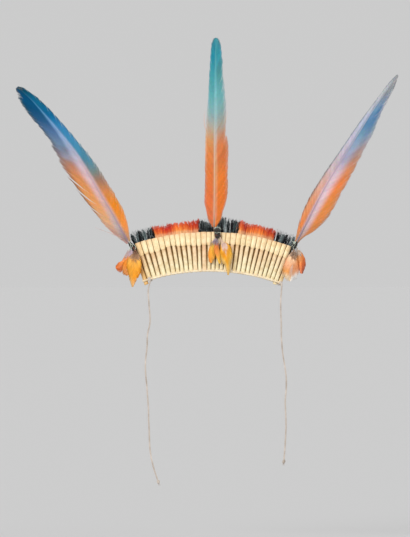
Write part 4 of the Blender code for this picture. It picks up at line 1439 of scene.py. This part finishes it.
# ------------------------------------------------------------------ feather materials
def tail_material(name, left, right, lags, stripe, stripe_side, stripe_back, stripe_wide, margins):
    """Tail feather keratin: dyed through by nature, satin, with a fine lie of slanting barbs."""
    made, tree, shader = material(name, Roughness=0.6, IOR=1.54, Specular_IOR_Level=0.05)
    along, side, tone = feather_marks(tree)
    far_out = node(tree, "Math", {0: side}, operation="ABSOLUTE")
    on_right = node(tree, "Math", {0: side, 1: 0.0}, operation="GREATER_THAN")
    # The colours change a little sooner or later from one clump of barbs to the next,
    # and from the shaft to the margin.
    drift = node(tree, "Math", {0: tone, 1: 0.05, 2: -0.025}, operation="MULTIPLY_ADD")
    shifted = node(tree, "Math", {0: along, 1: drift}, operation="ADD")
    hues = []
    for ramp, lag in zip((left, right), lags):
        late = node(tree, "Math", {0: far_out, 1: lag, 2: shifted}, operation="MULTIPLY_ADD")
        hues.append(node(tree, "ValToRGB", {0: late}, ramp))
    vane = node(tree, "Mix", {0: on_right, 6: hues[0], 7: hues[1]}, **BLEND)
    # A pale stripe lies along the shaft, most of it on one side: it is painted sheen along the shaft.
    own_side = node(tree, "Math", {0: side, 1: float(stripe_side)}, operation="MULTIPLY")
    reach = node(tree, "ValToRGB", {0: along}, stripe_wide)
    near = node(tree, "Math", {0: own_side, 1: reach}, operation="DIVIDE")
    inside = node(
        tree, "MapRange", {0: near, 1: 0.35, 2: 1.35, 3: 1.0, 4: 0.0}, interpolation_type="SMOOTHSTEP"
    )
    right_of = node(
        tree, "MapRange", {0: own_side, 1: -stripe_back, 2: 0.0, 3: 0.0, 4: 1.0},
        interpolation_type="SMOOTHSTEP",
    )
    sheen_stripe_cover = node(tree, "Math", {0: inside, 1: right_of}, operation="MULTIPLY")
    sheen_stripe_hue = node(tree, "ValToRGB", {0: along}, stripe)
    sheen_striped = node(tree, "Mix", {0: sheen_stripe_cover, 6: vane, 7: sheen_stripe_hue}, **BLEND)
    # The margins have colours of their own: darker and worn in places, and a pale line along some edges,
    # which is a painted highlight.
    edge = node(tree, "MapRange", {0: far_out, 1: 0.74, 2: 0.98, 3: 0.0, 4: 0.85})
    edges = [node(tree, "ValToRGB", {0: along}, ramp) for ramp in margins]
    edge_hue = node(tree, "Mix", {0: on_right, 6: edges[0], 7: edges[1]}, **BLEND)
    edged = node(tree, "Mix", {0: edge, 6: sheen_striped, 7: edge_hue}, **BLEND)
    shade = node(tree, "MapRange", {0: tone, 1: 0.0, 2: 1.0, 3: 0.86, 4: 1.18})
    lit = node(tree, "Mix", {0: 1.0, 6: edged, 7: shade}, **MULTIPLIED)
    # The dye is mottled, in flecks some 2 mm across.
    spot = node(tree, "TexCoord", output=3)
    fleck = node(tree, "TexNoise", {"Vector": spot, "Scale": 420.0, "Detail": 2.0}, output=1)
    half, lift = (0.5, 0.5, 0.5), (0.75, 0.75, 0.75)
    mottle = node(tree, "VectorMath", {0: fleck, 1: half, 2: lift}, operation="MULTIPLY_ADD")
    flecked = node(tree, "Mix", {0: 1.0, 6: lit, 7: mottle}, **MULTIPLIED)
    tree.links.new(flecked, shader.inputs["Base Color"])
    return made


def quill_material(name, stops):
    """A feather's shaft: smooth, hard horn, dull towards the root where it was scraped."""
    made, tree, shader = material(name, Roughness=0.45, IOR=1.55, Specular_IOR_Level=0.3)
    place = node(tree, "Attribute", attribute_name="place", output=1)
    along = node(tree, "SeparateXYZ", {0: place}, output=0)
    hue = node(tree, "ValToRGB", {0: along}, stops)
    tree.links.new(hue, shader.inputs["Base Color"])
    grain = node(tree, "TexCoord", output=3)
    scratch = node(tree, "TexNoise", {"Vector": grain, "Scale": 900.0, "Detail": 2.0})
    relief = node(tree, "Bump", {"Height": scratch, "Strength": 0.2, "Distance": 0.1 * MM})
    tree.links.new(relief, shader.inputs["Normal"])
    return made


# From place to place along the band, in millimetres: how yellow the feathers are, and how light.
RED_PLACES = [
    # arc, yellow, light
    (-70, 0.50, 0.75), (-66, 0.48, 0.85), (-63, 0.48, 1.0), (-57, 0.36, 1.04), (-52, 0.10, 0.98),
    (-49, 0.0, 0.94), (-46, 0.05, 0.94), (-43, 0.45, 1.0), (-39, 0.95, 1.08), (-33, 0.98, 1.12),
    (-29, 0.70, 1.02), (-24, 0.45, 1.04), (-20, 0.30, 0.98), (-16, 0.18, 0.90), (-11, 0.15, 0.82),
    (34, 0.65, 0.95), (37, 0.85, 1.10), (41, 0.60, 1.02), (43, 0.10, 0.68), (44, 0.10, 0.68),
    (46, 0.55, 0.98), (49, 0.78, 1.06), (52, 0.50, 1.0), (54, 0.50, 0.98), (58, 0.75, 1.04),
    (66, 0.70, 1.0), (70, 0.40, 0.90), (73, 0.22, 0.78), (76, 0.28, 0.86), (82, 0.10, 0.66),
]
RED_FIRST, RED_LAST = -72.0, 84.0
RED_DEEP = [(0.0, "f4c090"), (0.32, "f2a478"), (0.46, "e0562e"), (0.62, "dc3622"), (0.8, "d62c1c"),
            (1.0, "cc5e50")]
RED_BRIGHT = [(0.0, "f0c898"), (0.34, "f2bc84"), (0.5, "fa9c46"), (0.66, "fa883a"), (0.8, "f4702e"),
              (1.0, "de6a4c")]


def red_material():
    """Trimmed breast feathers: yellow at the foot, then orange to blood red, and dry pale tips."""
    made, tree, shader = material("scarlet_breast_feather", Roughness=0.6, Specular_IOR_Level=0.25)
    along, arc, tone = feather_marks(tree)
    at = node(tree, "MapRange", {0: arc, 1: RED_FIRST, 2: RED_LAST, 3: 0.0, 4: 1.0})
    places = [((spot - RED_FIRST) / (RED_LAST - RED_FIRST), *held) for spot, *held in RED_PLACES]
    yellow = node(tree, "ValToRGB", {0: at}, [(share, held) for share, held, _ in places])
    light = node(tree, "ValToRGB", {0: at}, [(share, 0.8 * held) for share, _, held in places])
    nudge = node(tree, "Math", {0: tone, 1: 0.7, 2: -0.35}, operation="MULTIPLY_ADD")
    warm = node(tree, "Math", {0: yellow, 1: nudge}, operation="ADD", use_clamp=True)
    deep = node(tree, "ValToRGB", {0: along}, RED_DEEP)
    bright = node(tree, "ValToRGB", {0: along}, RED_BRIGHT)
    hue = node(tree, "Mix", {0: warm, 6: deep, 7: bright}, **BLEND)
    shade = node(tree, "MapRange", {0: tone, 1: 0.0, 2: 1.0, 3: 0.94, 4: 1.50})
    shaded = node(tree, "Math", {0: shade, 1: light}, operation="MULTIPLY")
    lit = node(tree, "Mix", {0: 1.0, 6: hue, 7: shaded}, **MULTIPLIED)
    tree.links.new(lit, shader.inputs["Base Color"])
    return made


def black_material():
    """Glossy black feathers whose faint play of teal and purple, and the pale grey-teal barbs towards
    the tips, are painted glints.
    """
    made, tree, shader = material("glossy_black_feather", Roughness=0.5, Specular_IOR_Level=0.15)
    along, arc, tone = feather_marks(tree)
    # Each 1.25 mm along the band the feathers take a colour at random, from near black up to pale
    # grey-teal; the teal and purple tints and the palest stops are painted glints.
    cell = node(tree, "Math", {0: arc, 1: 0.8}, operation="MULTIPLY")
    chance = node(tree, "TexWhiteNoise", {"W": cell}, noise_dimensions="1D")
    play = node(
        tree,
        "ValToRGB",
        {0: chance},
        [(0.0, "040404"), (0.35, "0e0c12"), (0.55, "06090a"), (0.75, "181c1e"), (0.86, "4a5a5a"),
         (1.0, "8c9898")],
    )
    # A few pale barbs, from a quarter of the way along to the tips, are painted glints.
    tip_glint_share = node(tree, "MapRange", {0: along, 1: 0.25, 2: 0.8, 3: 0.0, 4: 0.9})
    few_glinting_barbs = node(tree, "MapRange", {0: tone, 1: 0.62, 2: 0.80, 3: 0.0, 4: 1.0})
    painted_glint = node(tree, "Math", {0: tip_glint_share, 1: few_glinting_barbs}, operation="MULTIPLY")
    hue = node(tree, "Mix", {0: painted_glint, 6: play, 7: paint("8c9698")}, **BLEND)
    tree.links.new(hue, shader.inputs["Base Color"])
    return made


def tassel_material(name, bright, sooner, downy, left, right, turn=0.0):
    """A body feather: grey-lilac down at the foot, then a bright soft vane with two sides."""
    made, tree, shader = material(name, Roughness=0.6, IOR=1.54, Specular_IOR_Level=0.25)
    along, side, tone = feather_marks(tree)
    nudge = node(tree, "Math", {0: tone, 1: 0.12, 2: -0.06}, operation="MULTIPLY_ADD")
    # The barbs' ends are bright sooner than their downy roots.
    outer = node(tree, "Math", {0: side}, operation="ABSOLUTE")
    ahead = node(tree, "Math", {0: outer, 1: sooner, 2: nudge}, operation="MULTIPLY_ADD")
    shifted = node(tree, "Math", {0: along, 1: ahead}, operation="ADD")
    hues = []
    for vane in (left, right):
        stops = [(bright, downy), *zip(np.linspace(bright + 0.08, 1.0, len(vane)), vane)]
        hues.append(node(tree, "ValToRGB", {0: shifted}, stops))
    over = node(tree, "MapRange", {0: side, 1: turn - 0.35, 2: turn + 0.35, 3: 0.0, 4: 1.0})
    hue = node(tree, "Mix", {0: over, 6: hues[0], 7: hues[1]}, **BLEND)
    shade = node(tree, "MapRange", {0: tone, 1: 0.0, 2: 1.0, 3: 0.72, 4: 1.28})
    lit = node(tree, "Mix", {0: 1.0, 6: hue, 7: shade}, **MULTIPLIED)
    tree.links.new(lit, shader.inputs["Base Color"])
    return made


# The pale stripe along each shaft is painted sheen.
# Where a margin is paler than its vane, the pale line is a painted highlight.
TAIL_PAINTS = {
    # left and right vanes, how much later their margins change colour; the stripe, its side,
    # how far it spills over the shaft and its share of the vane; the left and right margins
    "left": (
        [(0.06, "b48e84"), (0.14, "d2a27a"), (0.25, "dc985e"), (0.40, "ce8854"), (0.45, "c08262"),
         (0.49, "a27e72"), (0.52, "9492a0"), (0.55, "7c8092"), (0.58, "6e88a4"), (0.66, "547298"),
         (0.75, "26567e"), (0.82, "0a4c74"), (0.90, "004c74"), (0.96, "1c3f4c"), (1.0, "605a5c")],
        [(0.06, "b08c70"), (0.14, "e08a44"), (0.26, "dc8424"), (0.33, "cc8450"), (0.40, "9a7460"),
         (0.45, "727e7a"), (0.52, "4a849c"), (0.62, "4084a8"), (0.72, "347eae"), (0.80, "0c6490"),
         (0.92, "0c6082"), (0.985, "06445a"), (1.0, "4c5258")],
        (-0.09, 0.03),
        [(0.06, "8f7874"), (0.14, "b8a6a2"), (0.25, "cca69e"), (0.36, "d2aeb0"), (0.47, "cab0b8"),
         (0.56, "b0b0c2"), (0.64, "92a8c8"), (0.74, "6a92be"), (0.84, "2e7098"), (1.0, "1c5c7c")],
        -1, 0.32,
        [(0.05, 0.46), (0.20, 0.32), (0.36, 0.30), (0.48, 0.46), (0.58, 0.40), (0.70, 0.20),
         (1.0, 0.10)],
        (
            [(0.0, "8d706b"), (0.15, "dca880"), (0.25, "86502e"), (0.35, "74462c"), (0.45, "6e4836"),
             (0.55, "946a5a"), (0.70, "46545f"), (0.85, "2e4c5a"), (0.93, "2c5458"), (1.0, "5c5e60")],
            [(0.0, "a07860"), (0.15, "cc8c58"), (0.25, "cc9054"), (0.35, "b09080"), (0.45, "748484"),
             (0.55, "44788c"), (0.70, "48708a"), (0.85, "1e5068"), (0.93, "1e5c74"), (1.0, "124c5e")],
        ),
    ),
    "centre": (
        [(0.05, "cc7048"), (0.14, "da7040"), (0.28, "d9763c"), (0.40, "d68048"), (0.46, "d0925c"),
         (0.50, "c09e80"), (0.55, "a6a49c"), (0.61, "82a8aa"), (0.70, "5ca2a6"), (0.80, "4698a0"),
         (0.90, "24889c"), (1.0, "3c8490")],
        [(0.05, "d47638"), (0.14, "d87230"), (0.27, "dc7a34"), (0.36, "cc7240"), (0.44, "cc7848"),
         (0.49, "b88468"), (0.535, "a09c90"), (0.60, "82a09e"), (0.70, "64a4a6"), (0.80, "4e9094"),
         (0.90, "38909f"), (1.0, "4c8e9a")],
        (-0.01, -0.03),
        [(0.05, "d49070"), (0.30, "d89a6c"), (0.42, "cca082"), (0.50, "bcb0a6"), (0.58, "9eb8b6"),
         (0.70, "7cbac0"), (0.85, "58a8b0"), (1.0, "3890a0")],
        1, 0.26,
        [(0.05, 0.22), (1.0, 0.24)],
        (
            [(0.0, "824a2e"), (0.12, "c8785a"), (0.30, "c67c5a"), (0.42, "e4a884"), (0.50, "d8b08c"),
             (0.56, "c4b6ac"), (0.65, "a6bac0"), (0.80, "6c9ca2"), (0.93, "5890a0"), (1.0, "4a7680")],
            [(0.0, "7a4430"), (0.12, "b8724e"), (0.30, "cc8462"), (0.42, "d48c6c"), (0.50, "cc967c"),
             (0.56, "c2aa9e"), (0.65, "b4bcc0"), (0.80, "84a4a8"), (0.93, "60a0b0"), (1.0, "50808a")],
        ),
    ),
    "right": (
        [(0.06, "cc8c60"), (0.14, "de8448"), (0.25, "de9870"), (0.35, "d8a898"), (0.42, "ccb2b4"),
         (0.50, "c4b6c0"), (0.60, "c4bccc"), (0.70, "b8bcd0"), (0.80, "b4b8c0"), (0.90, "b8babe"),
         (1.0, "8f999c")],
        [(0.04, "b08064"), (0.11, "d0844e"), (0.24, "e28c4a"), (0.36, "ec8648"), (0.44, "da8c5c"),
         (0.50, "b48a7a"), (0.56, "a49496"), (0.62, "8494ac"), (0.68, "5e86ac"), (0.76, "5480a8"),
         (0.82, "7c92ac"), (0.87, "949ea6"), (0.93, "aca6a8"), (1.0, "8a9498")],
        (0.0, -0.06),
        [(0.06, "b29686"), (0.14, "c8b0b4"), (0.25, "d8bcc2"), (0.35, "dec2ca"), (0.44, "d0bac6"),
         (0.50, "aca6bc"), (0.60, "8ca0ba"), (0.66, "7098b0"), (0.72, "5a84aa"), (0.80, "7094b2"),
         (0.90, "909296"), (1.0, "8a989b")],
        1, 0.36,
        [(0.05, 0.30), (0.15, 0.31), (0.25, 0.40), (0.36, 0.46), (0.46, 0.56), (0.60, 0.60),
         (1.0, 0.5)],
        (
            [(0.0, "a87858"), (0.15, "7e4e36"), (0.30, "6c5850"), (0.45, "586a6c"), (0.55, "487074"),
             (0.65, "5c7076"), (0.80, "70787c"), (0.90, "8c8e90"), (1.0, "84888c")],
            [(0.0, "8c7060"), (0.15, "a87050"), (0.30, "d08c62"), (0.45, "d49068"), (0.55, "c89a80"),
             (0.65, "b4aeb8"), (0.72, "98aab2"), (0.80, "acb4c4"), (0.88, "bcb8ba"), (1.0, "848488")],
        ),
    ),
}
QUILL_PAINTS = {
    "left": [(0.0, "b79a88"), (0.06, "8a7280"), (0.14, "a48c98"), (0.28, "bc9ca0"), (0.48, "bcaab4"),
             (0.60, "a0aeca"), (0.75, "84aed2"), (0.86, "4c90b8"), (0.93, "1c6488"), (1.0, "144c60")],
    "centre": [(0.0, "3c342e"), (0.04, "a08878"), (0.10, "d29c80"), (0.35, "d8ac8c"), (0.50, "cdbcb0"),
               (0.62, "96c0c4"), (0.80, "66b2ba"), (1.0, "3a92a0")],
    "right": [(0.0, "b8a898"), (0.06, "7f7482"), (0.16, "a88c98"), (0.36, "c0a0ac"), (0.55, "b0a6ba"),
              (0.80, "b8bcc8"), (1.0, "9a9ea4")],
}
TASSEL_PAINTS = {
    # where the colour starts, how much sooner at the barbs' ends, the down, then the hues from foot
    # to tip on the left and on the right, and how far right of the shaft the two sides meet
    "left_outer": (
        0.46, 0.14, "ccb4b0", ("f4a058", "f28c40", "e67c3c"), ("f29a4a", "ee7c32", "e27438")
    ),
    "left_middle": (
        0.38, 0.14, "d4bcc8", ("ea923a", "ee8a26", "e49450"), ("f0a040", "f0942a", "e8a468")
    ),
    "left_inner": (
        0.30, 0.10, "b08868", ("f8b450", "f2a42e", "eca034", "e8b878"),
        ("fab850", "f4a42c", "f09818", "e8b070")
    ),
    "centre_left": (
        0.26, 0.14, "b8a4b4", ("d8b448", "f8a030", "f49430"), ("e4bc48", "fab038", "f8b050")
    ),
    "centre_middle": (
        0.26, 0.14, "9c8c94", ("e4843c", "ee9440", "e8b848"), ("dc7834", "eea048", "ecbc48")
    ),
    "centre_right": (
        0.46, 0.45, "e4c4b4", ("fcc048", "f29c14", "eca420", "e8b048", "e0b468"),
        ("eca83c", "e8a028", "eaac34", "e8b048", "e0b468")
    ),
    "right_inner": (
        0.33, 0.14, "a88a74", ("f6cca4", "f4b88c", "f0ac7c", "e89c4c", "f2d4ac"),
        ("dc8a3c", "e4833c", "e88c58", "f0b490", "fffaf4"), 0.45
    ),
    "right_outer": (
        0.36, 0.14, "ccb4a0", ("dca068", "f4924c", "e8885c"), ("e88c44", "dc6c38", "bc6044")
    ),
}


# ------------------------------------------------------------------ the whole headdress
def main():
    set_camera()
    set_studio()
    cotton = thread_material("twisted_plant_fibre_cord", "988a7c", "d8cdc2")
    rim_cord = thread_material("cream_plant_fibre_cord", "d0b690", "fff2d4")
    make_ties(cotton)
    threads = {
        "dark": thread_material("black_waxed_thread", "0a0a09", "38322a", 0.55),
        "red": thread_material("red_brown_thread", "3a1a10", "8a5440"),
        "pale": thread_material("grey_green_thread", "8c9684", "e6eede"),
    }
    make_base_cords(rim_cord, thread_material("pale_whipping_thread", "dcc8a4", "fff4d8"))
    make_bindings(threads)
    make_hitches(cotton)
    make_reeds(
        cane_material("scraped_split_cane", "fef3cf", "fadcb8", "d4b884", 0.22),
        cane_material("cane_tube_skin", "fdeac0", "f8deb6", "d8be8c", 0.45),
    )
    make_backing(bark_material())
    make_tails(
        {name: tail_material(f"macaw_tail_feather_{name}", *TAIL_PAINTS[name]) for name in TAILS},
        {name: quill_material(f"feather_quill_{name}", QUILL_PAINTS[name]) for name in TAILS},
    )
    make_fringes({"red": red_material(), "black": black_material()})
    make_tassels(
        {name: tassel_material(f"body_feather_{name}", *TASSEL_PAINTS[name]) for name in TASSELS}
    )


main()
